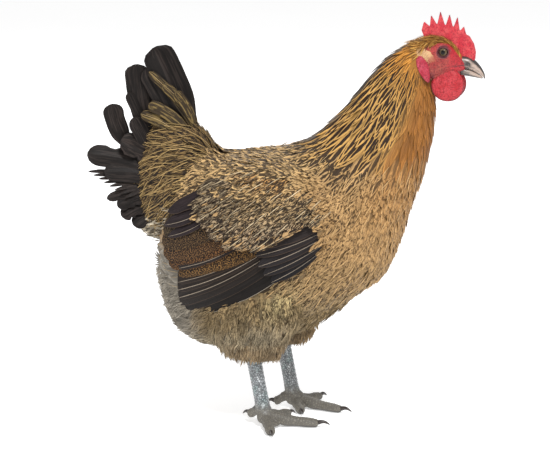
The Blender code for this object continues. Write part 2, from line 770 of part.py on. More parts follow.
def build_wing(side, word, torso, thigh, base):
    """One wing's four groups, each cut clear of what lies under it."""
    bow = wing_pad(f"wing_bow_{word}", BOW_OUTLINE, BOW_RIM_LIFT, BOW_MID_LIFT, "plumage")
    coverts = []
    for x, z in COVERT_TIPS:
        root_x, root_z = x + COVERT_LENGTH * math.cos(WING_TILT), z + COVERT_LENGTH * math.sin(WING_TILT)
        feather = (root_x, root_z, x, z, COVERT_WIDTH)
        coverts.append(wing_vane(feather, COVERT_LIFT, "plumage", 0.04, SHORT_SHAPE))
    moved_to(join_pieces(bow, coverts), side)
    groups = [cut_clear(bow, [torso, base], "MANIFOLD")]
    for name, pad, feathers, lift, finish in (
        ("secondaries", SECONDARY_PAD, SECONDARIES, -3.0, "barred_feather"),
        ("primaries", PRIMARY_PAD, PRIMARIES, -6.5, "dark_feather"),
        ("alula", ALULA_PAD, ALULA, -3.0, "dark_feather"),
    ):
        group = wing_pad(f"wing_{name}_{word}", pad, lift + 0.4, lift + 1.6, finish, rounds=2)
        shape = SHORT_SHAPE if feathers is ALULA else FEATHER_SHAPE
        join_pieces(group, [wing_vane(feather, lift, finish, shape=shape) for feather in feathers])
        cut_clear(moved_to(group, side), [torso, thigh, base, *groups], "MANIFOLD")
        groups.append(group)


def build_thigh(side, word, torso):
    """The loose-feathered thigh, from inside the flank to just below the hock."""
    rings = []
    for i in range(THIGH_RINGS):
        z, x, y, long, broad = spline_row(THIGH, i * (len(THIGH) - 1) / (THIGH_RINGS - 1))
        ring = []
        for k in range(THIGH_SIDES):
            angle = 2 * math.pi * k / THIGH_SIDES
            ring.append(
                Vector((x + FORWARD_STEP[side] + long * math.cos(angle), side * y + broad * math.sin(angle), z))
            )
        rings.append(ring)
    return cut_clear(loft(f"thigh_{word}", rings, "fluff"), [torso])


def side_point(point, side):
    """A place of the right leg moved to the given side and its step forward."""
    return Vector((point.x + FORWARD_STEP[side], side * point.y, point.z))


def build_shank(side, word, thigh):
    """The scaled shank, its front scutes raised in its own surface."""
    start, end = side_point(HOCK, side), side_point(ANKLE, side)
    axis = (end - start).normalized()
    ahead = axis.cross(Vector((0, 1, 0))).normalized()
    ahead = ahead if ahead.x > 0 else -ahead
    rings = []
    for k in range(SCUTES):
        for part, rise in ((0.0, SCUTE_RISE), (0.8, 1.0)):
            share = (k + part) / SCUTES
            middle = start.lerp(end, share)
            waist = 1 + 0.16 * (2 * share - 1) ** 4
            ring = []
            for j in range(SHANK_SIDES):
                angle = 2 * math.pi * j / SHANK_SIDES
                plate = 0.6 * rise * max(0.0, math.cos(angle))
                depth, breadth = SHANK_DEPTH * waist + plate, SHANK_BREADTH * waist + plate
                ring.append(
                    middle + ahead * (depth * math.cos(angle)) + Vector((0, breadth * math.sin(angle), 0))
                )
            rings.append(ring)
    return cut_clear(loft(f"shank_{word}", rings, "leg_scale"), [thigh])


def toe_path(side, toe):
    """The points along a toe, and its heading."""
    turn, length, half = TOES[side][toe]
    heading = math.radians(turn)
    ahead = Vector((math.cos(heading), side * math.sin(heading), 0))
    start = side_point(BALL, side)
    levels = ((0.0, start.z - 2), (0.2, 6.8), (0.38, 4.6), (0.58, 3.7), (0.8, 3.3), (1.0, 2.9))
    return [(start + ahead * (length * share), z, share) for share, z in levels], ahead, half


def build_toe(side, toe):
    """One toe with its joint pads, flat where it rests on the floor."""
    stations, ahead, half = toe_path(side, toe)
    across = Vector((-ahead.y, ahead.x, 0))
    rings = []
    for place, z, share in stations:
        swell = half * (1.12 - 0.22 * share) * (0.96 + 0.07 * math.cos(5 * math.pi * share))
        swell *= 0.78 if share == 1 else 1
        ring = []
        for k in range(TOE_SIDES):
            angle = 2 * math.pi * k / TOE_SIDES
            point = Vector((place.x, place.y, z)) + across * (swell * math.sin(angle)) + UP * (swell * math.cos(angle))
            point.z = max(0.0, point.z)
            ring.append(point)
        rings.append(ring)
    return loft("toe", rings, "leg_scale")


def build_foot(side, word, shank):
    """The foot: the ball under the shank and four toes, and a claw on each."""
    foot = ball(f"foot_{word}", side_point(BALL, side), BALL_SIZE, "leg_scale", 10, 7)
    for v in foot.data.vertices:
        v.co.z = max(0.0, v.co.z)
    join_pieces(foot, [build_toe(side, toe) for toe in TOES[side]])
    cut_clear(foot, [shank])
    claws = []
    for toe in TOES[side]:
        stations, ahead, half = toe_path(side, toe)
        root, z, _ = stations[-1]
        length = CLAW_LENGTH[toe]
        across = Vector((-ahead.y, ahead.x, 0))
        rings = []
        for share in (-0.25, 0.2, 0.6, 1.0):
            fall = 2.6 * max(share, 0) ** 2
            middle = Vector((root.x, root.y, z + 0.6 - fall)) + ahead * (length * share)
            radius = CLAW_RADIUS * (1 - 0.86 * max(0.0, share))
            ring = []
            for k in range(CLAW_SIDES):
                angle = 2 * math.pi * k / CLAW_SIDES
                point = middle + across * (radius * 0.85 * math.sin(angle)) + UP * (radius * math.cos(angle))
                point.z = max(0.0, point.z)
                ring.append(point)
            rings.append(ring)
        claws.append(cut_clear(loft(f"claw_{toe}_{word}", rings, "claw"), [foot]))
    return foot, claws


def centre_on_floor():
    """Moves the hen so that its box is centred over the origin, on the floor."""
    points = [v.co for o in parts.objects for v in o.data.vertices]
    shift = Vector((
        -(min(p.x for p in points) + max(p.x for p in points)) / 2,
        -(min(p.y for p in points) + max(p.y for p in points)) / 2,
        -min(p.z for p in points),
    ))
    for o in parts.objects:
        for v in o.data.vertices:
            v.co += shift


def build_hen():
    """Builds every node of the hen."""
    torso, neck = build_trunk()
    head = build_head()
    upper, lower = build_bill(head)
    comb = build_comb(head, upper)
    build_face(head, neck, [upper, lower])
    base, tail = build_tail(torso)
    for side, word in SIDES:
        thigh = build_thigh(side, word, torso)
        shank = build_shank(side, word, thigh)
        build_foot(side, word, shank)
        build_wing(side, word, torso, thigh, base)
    centre_on_floor()
    for made in parts.objects:
        made.data.shade_smooth()
        made.data.set_sharp_from_angle(angle=math.radians(40))


clear_scene()
parts = bpy.data.collections.new("partridge_hen")
bpy.context.scene.collection.children.link(parts)
build_hen()
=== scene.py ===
"""A standing partridge hen at life size: its skin, feathers, comb, bill, eyes and scaled legs.

Sizes are in millimetres in the hen's own frame, where +X is the way it faces, +Y is its left
side and the floor is at zero. set_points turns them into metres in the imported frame.
"""

import logging
import math
from collections.abc import Callable
from dataclasses import dataclass, field
from enum import Enum, IntEnum
from functools import partial

import bpy
import numpy as np
from bpy.types import Material, Node, NodeSocket, NodeTree, Object
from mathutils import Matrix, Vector, noise
from numpy import ndarray as Array
from numpy.random import Generator


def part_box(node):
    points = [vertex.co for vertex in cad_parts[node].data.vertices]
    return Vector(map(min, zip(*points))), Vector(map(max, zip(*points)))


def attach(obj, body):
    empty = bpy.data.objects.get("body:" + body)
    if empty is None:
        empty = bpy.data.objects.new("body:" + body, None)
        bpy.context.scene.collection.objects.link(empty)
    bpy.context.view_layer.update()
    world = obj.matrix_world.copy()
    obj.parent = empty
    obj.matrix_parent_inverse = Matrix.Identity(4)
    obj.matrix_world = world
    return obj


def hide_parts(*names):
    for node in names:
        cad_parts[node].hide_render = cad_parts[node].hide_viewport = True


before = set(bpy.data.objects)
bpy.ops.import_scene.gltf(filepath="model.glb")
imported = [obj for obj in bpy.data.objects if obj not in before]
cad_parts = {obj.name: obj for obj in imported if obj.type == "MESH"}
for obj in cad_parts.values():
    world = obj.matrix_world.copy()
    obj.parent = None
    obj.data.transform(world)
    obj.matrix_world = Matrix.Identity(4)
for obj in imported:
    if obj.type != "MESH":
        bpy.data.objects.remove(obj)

LOG = logging.getLogger("hen")
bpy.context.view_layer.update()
MM = 0.001
TAU = 2 * math.pi


class Side(IntEnum):
    """The two sides of the hen, by the sign of Y."""

    RIGHT = -1
    LEFT = 1

    @property
    def word(self) -> str:
        """The side's name as the nodes spell it."""
        return self.name.lower()


# Sections of the trunk from the root of the bill to the rump. Each row is a slanted section:
# its upper point (x, z), its lower point (x, z), its half width, and how top-heavy it is.
TRUNK_ROWS = np.array((
    (179, 369, 178, 357, 7.2, 0),
    (173, 375.5, 174, 355, 9.6, 0),
    (164, 384.5, 169, 353, 13.0, 0),
    (153, 390, 163, 351, 16.0, 0.04),
    (140, 390, 156, 349, 16.8, 0.02),
    (128, 385.5, 151, 347, 17.5, 0),
    (118, 381.3, 146, 346, 18, 0),
    (101, 369.5, 149, 327, 22, 0),
    (85, 352, 149, 308, 27, 0),
    (67, 328, 146, 288, 34, 0),
    (48, 307, 141, 266, 43, 0),
    (27, 288.5, 134, 243, 52, 0.02),
    (5, 279, 125, 217, 61, 0.04),
    (-15, 273, 116, 188, 68, 0.05),
    (-34, 270, 100, 152, 72, 0.05),
    (-51, 269, 74, 131, 74, 0.03),
    (-65, 270, 41, 106, 74, 0),
    (-76, 274, 6, 88, 72, -0.03),
    (-84, 278, -36, 77, 69, -0.06),
    (-92, 281, -74, 74, 62, -0.10),
    (-103, 276, -103, 86, 50, -0.14),
    (-114, 258, -120, 108, 34, -0.16),
    (-122, 230, -129, 138, 16, -0.10),
), float)
RUMP_END = 22.0
TAIL_ROWS = np.array((
    (-62, 262, -84, 192, 38, 0),
    (-86, 292, -114, 186, 42, 0),
    (-104, 303, -131, 182, 36, 0),
    (-124, 302, -144, 190, 26, 0),
    (-140, 289, -152, 208, 14, 0),
    (-152, 253, -156, 240, 2, 0),
), float)
# The feathered thigh as level sections: z, centre x, centre y, half length, half breadth.
THIGH_ROWS = np.array((
    (168, -16, 38, 44, 24),
    (135, -20, 42, 48, 28),
    (108, -24, 43, 45, 28),
    (88, -27, 41, 37, 24),
    (74, -25, 39, 28, 18),
    (66, -23, 38, 19, 12),
), float)
FORWARD_STEP = {Side.RIGHT: 0.0, Side.LEFT: 14.0}

EYE = Vector((158.0, 11.6, 377.0))
EYE_RADIUS = 4.7
EYE_LOW, EYE_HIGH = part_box("eye_right")
SHIFT = (EYE_LOW + EYE_HIGH) / (2 * MM) - Vector((EYE.x, -EYE.y, EYE.z))

WING_CENTRE = Vector((-18.0, 0.0, 195.0))
WING_TILT = math.radians(28)
WING_HALF_LENGTH, WING_ABOVE, WING_BELOW, WING_OUT, WING_POWER = 152.0, 92.0, 106.0, 85.0, 2.2
TIPS_IN, FRONT_IN = 6.0, 7.0
MANTLE_EDGE = np.array((
    (44, 198), (56, 208), (60, 222), (50, 242), (24, 257), (-8, 263), (-38, 262), (-60, 250), (-70, 236),
    (-70, 222)), float)


def linear(colour: str) -> tuple[float, float, float]:
    """A colour written as sRGB hex, as the linear values that shaders take."""
    parts = (int(colour[k:k + 2], 16) / 255 for k in (1, 3, 5))
    return tuple(p / 12.92 if p <= 0.04045 else ((p + 0.055) / 1.055) ** 2.4 for p in parts)


def unit(vectors: Array) -> Array:
    """The vectors at length one."""
    return vectors / np.maximum(np.linalg.norm(vectors, axis=-1, keepdims=True), 1e-9)


def stacked(*parts: Array | float) -> Array:
    """Vectors from their parts, each an array or one number for all."""
    return np.stack(np.broadcast_arrays(*parts), axis=-1)


def bell(*offsets: tuple[Array, float]) -> Array:
    """A smooth hump, 1 where every offset is 0, from offsets and widths."""
    return np.exp(-sum((offset / width) ** 2 for offset, width in offsets))


def closing(share: Array, first: float, last: float) -> Array:
    """How far open a loft's section is, closing round at both ends."""
    return np.sqrt(np.clip(share * first, 0, 1) * np.clip((1 - share) * last, 0, 1))


def dot(a: Array, b: Array) -> Array:
    """The dot products of two arrays of vectors, kept as a column."""
    return (a * b).sum(axis=-1, keepdims=True)


def smooth(value: Array, low: float, high: float) -> Array:
    """A soft step from 0 at low to 1 at high, or down again where low is the greater."""
    share = np.clip((value - low) / (high - low), 0, 1)
    return share * share * (3 - 2 * share)


def spline(rows: Array, at: Array) -> Array:
    """A table's rows at fractional indices, on a Catmull-Rom curve through them."""
    last = len(rows) - 1
    at = np.clip(at, 0, last)
    i = np.minimum(at.astype(int), last - 1)
    t = (at - i)[..., None]
    p, q, r, s = (rows[np.clip(i + k, 0, last)] for k in (-1, 0, 1, 2))
    return 0.5 * (2 * q + (r - p) * t + (2 * p - 5 * q + 4 * r - s) * t**2 + (3 * q - p - 3 * r + s) * t**3)


def noise_at(points: Array, size: float, seed: float = 0.0) -> Array:
    """Smooth noise from -1 to 1 with blobs of about the given size, at each point."""
    offset = Vector((seed * 17.1, seed * 5.3, seed * 9.7))
    return np.array([noise.noise(Vector(p) / size + offset) for p in points])


# Meshes and modelling operators

def deselect_all() -> None:
    """Leaves nothing selected, so that an operator acts on its own piece alone."""
    for each in list(bpy.context.selected_objects):
        each.select_set(False)


def link(name: str, data: bpy.types.ID) -> Object:
    """A new object of the scene with its data."""
    made = bpy.data.objects.new(name, data)
    bpy.context.scene.collection.objects.link(made)
    return made


def start_piece(name: str, primitive: Callable[..., object], **settings: object) -> Object:
    """Adds a primitive under a name, with nothing else selected."""
    deselect_all()
    primitive(**settings)
    piece = bpy.context.object
    piece.name = piece.data.name = name
    return piece


def make_active(piece: Object) -> None:
    """Selects one piece alone and makes it the active one."""
    deselect_all()
    piece.select_set(True)
    bpy.context.view_layer.objects.active = piece


def read(piece: Object, what: str = "co") -> Array:
    """The raw places, or normals, of a piece's points."""
    flat = np.empty(len(piece.data.vertices) * 3)
    piece.data.vertices.foreach_get(what, flat)
    return flat.reshape(-1, 3)


def get_points(piece: Object) -> Array:
    """A piece's points in millimetres in the hen's own frame."""
    return read(piece) / MM - np.array(SHIFT)


def set_points(piece: Object, points: Array) -> None:
    """Moves a piece's points to places in millimetres in the hen's own frame."""
    piece.data.vertices.foreach_set("co", ((points + np.array(SHIFT)) * MM).ravel())
    piece.data.update()


def edit_all(piece: Object, *steps: Callable[[], object]) -> None:
    """Runs operators in edit mode on all of a piece."""
    make_active(piece)
    bpy.ops.object.mode_set(mode="EDIT")
    bpy.ops.mesh.select_all(action="SELECT")
    for step in steps:
        step()
    bpy.ops.object.mode_set(mode="OBJECT")


OUTWARDS = partial(bpy.ops.mesh.normals_make_consistent, inside=False)


def apply_modifier(piece: Object, kind: str, **settings: object) -> None:
    """Adds one modifier to a piece and applies it."""
    make_active(piece)
    modifier = piece.modifiers.new(kind.lower(), kind)
    for key, value in settings.items():
        setattr(modifier, key, value)
    bpy.ops.object.modifier_apply(modifier=modifier.name)


def wrapped_grid(name: str, columns: int, rows: int, place: Callable[[Array, Array], Array]) -> Object:
    """A grid primitive rolled into a closed skin, its seam and its ends welded.

    Args:
        name: the piece's name.
        columns: faces round it.
        rows: faces along it.
        place: gives points in millimetres from the share round and the share along.

    Returns:
        The piece, with the grid's own shares as its UV map.
    """
    piece = start_piece(
        name, bpy.ops.mesh.primitive_grid_add, x_subdivisions=columns, y_subdivisions=rows, size=1)
    shares = read(piece) + 0.5
    set_points(piece, place(shares[:, 0], shares[:, 1]))
    edit_all(piece, lambda: bpy.ops.mesh.remove_doubles(threshold=0.01 * MM), OUTWARDS)
    return piece


def join_into(first: Object, others: list[Object]) -> Object:
    """Joins pieces into the first one, as separate shells of one mesh."""
    make_active(first)
    for each in others:
        each.select_set(True)
    bpy.ops.object.join()
    return first


def unite(first: Object, others: list[Object]) -> Object:
    """Fuses pieces into the first one by Boolean unions."""
    for each in others:
        apply_modifier(first, "BOOLEAN", operation="UNION", solver="MANIFOLD", object=each)
        bpy.data.objects.remove(each, do_unlink=True)
    return first


def shade(piece: Object, angle: float = 60.0) -> None:
    """Shades a piece smooth, with edges sharper than the angle kept."""
    make_active(piece)
    bpy.ops.object.shade_smooth_by_angle(angle=math.radians(angle))


def add_attributes(piece: Object, **named: Array) -> None:
    """Stores values, or linear colours, for a piece's points under their names."""
    for name, values in named.items():
        kind, what = ("FLOAT", "value") if values.ndim == 1 else ("FLOAT_COLOR", "color")
        if values.ndim > 1:
            values = np.concatenate([values, np.ones((len(values), 1))], axis=1)
        attribute = piece.data.attributes.new(name, kind, "POINT")
        attribute.data.foreach_set(what, values.astype(np.float32).ravel())


def finish_piece(
    piece: Object, material: Material, slot: str, *nodes: str
) -> Object:
    """Dresses a piece, rides it on the hen's body and hides the solids it stands for."""
    piece.data.materials.clear()
    piece.data.materials.append(material)
    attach(piece, "root")
    if nodes:
        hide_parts(*nodes)
    piece.data.calc_loop_triangles()
    LOG.info("%s: %d triangles", piece.name, len(piece.data.loop_triangles))
    return piece


# Surfaces that feathers root on

@dataclass(frozen=True)
class Frames:
    """Where each feather of a batch runs: its stations, with the ways along, across and out there."""

    points: Array
    along: Array
    across: Array
    out: Array


Flow = Callable[[Array, Array, Array], Array]


class Surface:
    """A smooth sheet, placed by one number along it and one round it."""

    span: tuple[float, float] = (0.0, 1.0)

    def at(self, along: Array, turn: Array) -> Array:
        """The points at places of the sheet."""
        raise NotImplementedError

    def middle(self, along: Array, turn: Array) -> Array:
        """Points inside the sheet, which its outward side looks away from."""
        raise NotImplementedError

    def unwrapped(self, along: Array, turn: Array) -> Array:
        """Places of the sheet on a flat unwrap of it, from 0 to 1 each way."""
        low, high = self.span
        return stacked(turn / TAU % 1.0, (along - low) / (high - low)) * 0.98 + 0.01

    def tangents(self, along: Array, turn: Array) -> tuple[Array, Array, Array]:
        """The changes along and round the sheet, and its outward normal."""
        low, high = self.span
        step = (high - low) * 1e-3
        before, after = np.maximum(along - step, low), np.minimum(along + step, high)
        lengthwise = (self.at(after, turn) - self.at(before, turn)) / (after - before)[:, None]
        round_way = (self.at(along, turn + 1e-3) - self.at(along, turn - 1e-3)) / 2e-3
        normal = unit(np.cross(round_way, lengthwise))
        outside = dot(normal, self.at(along, turn) - self.middle(along, turn))
        return lengthwise, round_way, np.where(outside < 0, -normal, normal)

    def walk(
        self, along: Array, turn: Array, length: Array, swing: Array, flow: Flow,
        stations: int = 7,
    ) -> Frames:
        """Follows the sheet from each root for a feather's length.

        Args:
            along: the roots' places along the sheet.
            turn: the roots' places round it.
            length: each feather's length.
            swing: how far each turns aside from the flow, in radians.
            flow: the lie of the coat from points, the way lengthwise and the normal.
            stations: how many stations each feather gets.

        Returns:
            The frames of all feathers.
        """
        past = np.zeros(len(along))
        step = length / (stations - 1)
        rows = []
        for _ in range(stations):
            lengthwise, round_way, normal = self.tangents(along, turn)
            here = self.at(along, turn)
            way = flow(here, unit(lengthwise), normal)
            way = unit(way - normal * dot(way, normal))
            way = unit(way * np.cos(swing)[:, None] + np.cross(normal, way) * np.sin(swing)[:, None])
            rows.append((here + way * past[:, None], way, np.cross(normal, way), normal))
            e, f, g = (dot(a, b)[:, 0] for a, b in (
                (lengthwise, lengthwise), (lengthwise, round_way), (round_way, round_way)))
            first, second = (dot(way, w)[:, 0] * step for w in (lengthwise, round_way))
            whole = np.maximum(e * g - f * f, 1e-6 * e * g + 1e-9)
            ahead = (g * first - f * second) / whole
            new = np.clip(along + ahead, *self.span)
            lost = 1 - np.clip((new - along) / np.where(np.abs(ahead) < 1e-9, 1e-9, ahead), 0, 1)
            past = past + step * np.where(np.abs(ahead) < 1e-9, 0, lost)
            along, turn = new, turn + np.clip((e * second - f * first) / whole, -0.5, 0.5) * (1 - lost)
        return Frames(*(np.stack([row[k] for row in rows], axis=1) for k in range(4)))


@dataclass
class Sections(Surface):
    """A loft over slanted sections, as the trunk and the tail's base are."""

    rows: Array
    inset: float | Callable[[Array], Array] = 0.0

    def __post_init__(self) -> None:
        """Takes the span from the table."""
        self.span = (0.0, len(self.rows) - 1.0)

    def at(self, along: Array, turn: Array) -> Array:
        """The points at places of the loft, turn 0 at the top and growing down the left side."""
        row = spline(self.rows, along)
        depth = self.inset(along) if callable(self.inset) else self.inset
        down = (1 - np.cos(turn)) / 2
        tall = np.hypot(row[..., 2] - row[..., 0], row[..., 3] - row[..., 1])
        squeeze = np.clip(1 - 2 * depth / tall, 0.02, 1)
        down = 0.5 + (down - 0.5) * squeeze
        half = row[..., 4] * np.clip(1 - depth / row[..., 4], 0.02, 1)
        out = half * np.sin(turn) * (1 + row[..., 5] * np.cos(turn))
        x = row[..., 0] + (row[..., 2] - row[..., 0]) * down
        z = row[..., 1] + (row[..., 3] - row[..., 1]) * down
        return stacked(x, out, z)

    def middle(self, along: Array, turn: Array) -> Array:
        """The middle of each section."""
        row = spline(self.rows, along)
        x, z = (row[..., 0] + row[..., 2]) / 2, (row[..., 1] + row[..., 3]) / 2
        return stacked(x, 0.0, z)

    def locate(self, points: Array) -> tuple[Array, Array]:
        """How far along the loft points lie, and how far down from 0 at its top to 1."""
        table = np.linspace(*self.span, 220)
        row = spline(self.rows, table)
        slant = row[:, 2:4] - row[:, :2]
        size = np.hypot(slant[:, 0], slant[:, 1])
        rel = points[:, None, ::2] - row[None, :, :2]
        off = np.abs(rel[..., 0] * slant[:, 1] - rel[..., 1] * slant[:, 0]) / size
        down = (rel * slant).sum(axis=-1) / size**2
        off += 60 * np.abs(down - np.clip(down, 0, 1))
        best = off.argmin(axis=1)
        return table[best], np.clip(down[np.arange(len(points)), best], 0, 1)


@dataclass
class ThighSurface(Surface):
    """One feathered thigh, from inside the flank to below the hock."""

    side: Side
    inset: float = 0.0
    span: tuple[float, float] = (0.0, len(THIGH_ROWS) - 1.0)

    def at(self, along: Array, turn: Array) -> Array:
        """The points at places of the thigh, turn 0 at its front."""
        z, x, y, long, broad = np.moveaxis(spline(THIGH_ROWS, along), -1, 0)
        x = x + FORWARD_STEP[self.side] + np.maximum(long - self.inset, 0.5) * np.cos(turn)
        out = self.side * (y + np.maximum(broad - self.inset, 0.5) * np.sin(turn))
        return stacked(x, out, z)

    def middle(self, along: Array, turn: Array) -> Array:
        """The middle of each level section."""
        z, x, y, _, _ = np.moveaxis(spline(THIGH_ROWS, along), -1, 0)
        return stacked(x + FORWARD_STEP[self.side], self.side * y, z)


@dataclass
class WingSurface(Surface):
    """The folded wing's outer side: along it towards the tips, and up across it."""

    side: Side
    lift: float = 0.0
    span: tuple[float, float] = (-110.0, 130.0)

    @staticmethod
    def flat(points: Array) -> tuple[Array, Array]:
        """Side-view points (x, z) as distances along and across the wing."""
        dx, dz = points[..., 0] - WING_CENTRE.x, points[..., 1] - WING_CENTRE.z
        tilt_x, tilt_z = math.cos(WING_TILT), math.sin(WING_TILT)
        return -dx * tilt_x - dz * tilt_z, -dx * tilt_z + dz * tilt_x

    def at(self, along: Array, turn: Array) -> Array:
        """The points at distances along and across the wing."""
        x = WING_CENTRE.x - along * math.cos(WING_TILT) - turn * math.sin(WING_TILT)
        z = WING_CENTRE.z - along * math.sin(WING_TILT) + turn * math.cos(WING_TILT)
        half = np.where(turn > 0, WING_ABOVE, WING_BELOW)
        inside = 1 - np.abs(along / WING_HALF_LENGTH) ** WING_POWER - np.abs(turn / half) ** WING_POWER
        out = WING_OUT * np.sqrt(np.maximum(inside, 0.04)) + self.lift
        out = out - TIPS_IN * smooth(along, 40, 120) - FRONT_IN * smooth(along, -58, -88)
        return stacked(x, self.side * out, z)

    def middle(self, along: Array, turn: Array) -> Array:
        """Points under the wing on the hen's middle."""
        return self.at(along, turn) * np.array((1.0, 0.0, 1.0))

    def unwrapped(self, along: Array, turn: Array) -> Array:
        """Places of the wing laid flat, from 0 to 1 each way."""
        return stacked((along + 110) / 240, (turn + 90) / 180).clip(0.01, 0.99)


TRUNK = Sections(TRUNK_ROWS)
TAIL_BASE = Sections(TAIL_ROWS)


class Mantle(Surface):
    """The coat's bridge from the back over the upper and front edge of a folded wing."""

    span = (0.0, 1.0)

    def __init__(self, side: Side, inset: float = 0.0) -> None:
        """Works out where the bridge leaves the trunk and where it meets the wing."""
        self.side = side
        self.inset = inset
        self.table = np.linspace(0, 1, 90)
        edge = spline(MANTLE_EDGE, self.table * (len(MANTLE_EDGE) - 1))
        tangent = unit(np.gradient(edge, axis=0))
        outward = stacked(tangent[:, 1], -tangent[:, 0])

        def on_trunk(gap: float) -> Array:
            flat = edge + outward * gap
            along, down = TRUNK.locate(stacked(flat[:, 0], 0.0, flat[:, 1]))
            return TRUNK.at(along, side * np.arccos(np.clip(1 - 2 * down, -1, 1)))

        def on_wing(gap: float) -> Array:
            return WingSurface(side).at(*WingSurface.flat(edge - outward * gap))

        start, end = on_trunk(11), on_wing(6)
        size = np.linalg.norm(end - start, axis=1, keepdims=True) * 0.9
        self.knots = (start, unit(start - on_trunk(15)) * size, end, unit(on_wing(10) - end) * size)

    def at(self, along: Array, turn: Array) -> Array:
        """The points at shares along the bridge and across it from the trunk to the wing."""
        start, leave, end, meet = (
            np.stack([np.interp(along, self.table, knot[:, k]) for k in range(3)], axis=1) for knot in self.knots)
        share = np.clip(turn, 0, 1)[:, None]
        past = np.asarray(turn)[:, None] - share
        square, cube = share**2, share**3
        points = (2 * cube - 3 * square + 1) * start + (cube - 2 * square + share) * leave
        points = points + (3 * square - 2 * cube) * end + (cube - square) * meet
        points = points + past * np.where(past > 0, meet, leave)
        return points - np.array((0, self.side * 0.7, 0.7)) * self.inset

    def middle(self, along: Array, turn: Array) -> Array:
        """Points inside the body under the bridge."""
        points = self.at(along, turn)
        return points * np.array((1.0, 0.2, 1.0)) - np.array((0.0, 0.0, 30.0))

    def unwrapped(self, along: Array, turn: Array) -> Array:
        """Places of the bridge laid flat, from 0 to 1 each way."""
        return stacked(turn, along).clip(0.01, 0.99)


def thin_out(points: Array, spacing: Array) -> Array:
    """Picks points in their order so that none stands closer to another than its own spacing."""
    cell = float(spacing.max())
    cells: dict[tuple[int, int, int], list[int]] = {}
    kept: list[int] = []
    keys = np.floor(points / cell).astype(int)
    for i, (kx, ky, kz) in enumerate(keys):
        near = [
            j for x in (kx - 1, kx, kx + 1) for y in (ky - 1, ky, ky + 1) for z in (kz - 1, kz, kz + 1)
            for j in cells.get((x, y, z), ())
        ]
        gap = spacing[i] ** 2
        px, py, pz = points[i]
        if all(
            (points[j][0] - px) ** 2 + (points[j][1] - py) ** 2 + (points[j][2] - pz) ** 2 > gap for j in near
        ):
            kept.append(i)
            cells.setdefault((kx, ky, kz), []).append(i)
    return np.array(kept, int)


# Feather shapes

@dataclass(frozen=True)
class Template:
    """One feather's mesh in its own terms: shares along and across it, and faces."""

    along: Array
    across: Array
    out: Array
    thick: Array
    pattern: Array
    faces: list[tuple[int, ...]]

    @staticmethod
    def gathered(rows: list[tuple[float, ...]], faces: list[tuple[int, ...]]) -> "Template":
        """A template from its points' rows: along, across, out, thick, and the pattern's two."""
        table = np.array(rows)
        return Template(*table[:, :4].T, table[:, 4:], faces)


def ring_faces(rings: int, count: int, start: int = 0) -> list[tuple[int, ...]]:
    """The faces of a closed strip of rings, each of count points, and its two ends."""
    faces = []
    for k in range(rings - 1):
        for j in range(count):
            a, b = start + k * count + j, start + k * count + (j + 1) % count
            faces.append((a, a + count, b + count, b))
    last = start + (rings - 1) * count
    for j in range(count - 2):
        faces.append((start + count - 1, start + j, start + j + 1))
        faces.append((last + count - 1, last + j + 1, last + j))
    return faces


@dataclass(frozen=True)
class VaneShape:
    """A feather's vane: shares of its length with its half width there, and how its edge frays."""

    stations: tuple[tuple[float, float], ...]
    columns: int = 5
    fray: float = 0.05
    notch: float = 0.06
    cup: float = 0.10

    def template(self, rng: Generator) -> Template:
        """One vane, crowned across, with ragged barbs at its tip and sides."""
        rows = []
        last = len(self.stations) - 1
        for k, (t, wide) in enumerate(self.stations):
            for j, c in enumerate(np.linspace(-1, 1, self.columns)):
                near_tip = max(0.0, 1 - (last - k) / 2)
                zigzag = (0.5 if j % 2 == (self.columns // 2) % 2 else -0.5) + rng.uniform(-0.5, 0.5)
                swept = 0.5 * self.fray * abs(c) * (k / last)
                edge = abs(c) > 0.99 and 0 < k
                rows.append((
                    t + near_tip * self.fray * zigzag - swept,
                    c * wide * (1 + (rng.uniform(-1.6, 0.6) * self.notch if edge else 0)),
                    -self.cup * c * c * wide + rng.uniform(-0.2, 0.2) * self.notch * abs(c), 0.0, 0.5 + c / 2, t))
            rows.append((t, 0.0, 0.0, -1.0 + 0.6 * t, 0.5, t))
        return Template.gathered(rows, ring_faces(last + 1, self.columns + 1))


@dataclass(frozen=True)
class TuftShape:
    """A loose tuft: slender strands fanned from one root."""

    strands: int = 5
    rings: int = 5
    strand_width: float = 0.16
    spread: float = 0.9
    loose: float = 0.10

    def template(self, rng: Generator) -> Template:
        """One tuft, each strand a tapered three-sided blade that bends its own way."""
        rows, faces = [], []
        for s in range(self.strands):
            lean = (2 * s / max(self.strands - 1, 1) - 1) * self.spread + rng.uniform(-0.12, 0.12)
            reach = rng.uniform(0.72, 1.0)
            rise = rng.uniform(-0.5, 1.0) * self.loose
            wave = rng.uniform(-0.07, 0.07)
            for k in range(self.rings):
                t = k / (self.rings - 1)
                wide = self.strand_width * (0.55 + 1.2 * t) * (1 - t**3) + 0.015
                middle = lean * (0.25 + 0.75 * t) + wave * math.sin(math.pi * t * 1.5)
                for c, high in ((-1, 0.0), (1, 0.0), (0, 0.5)):
                    rows.append((t * reach, middle + c * wide, rise * t * t + high * wide, 0.0,
                                 min(1.0, max(0.0, 0.5 + middle / 2)), t))
            faces += ring_faces(self.rings, 3, s * self.rings * 3)
        return Template.gathered(rows, [face[::-1] for face in faces])


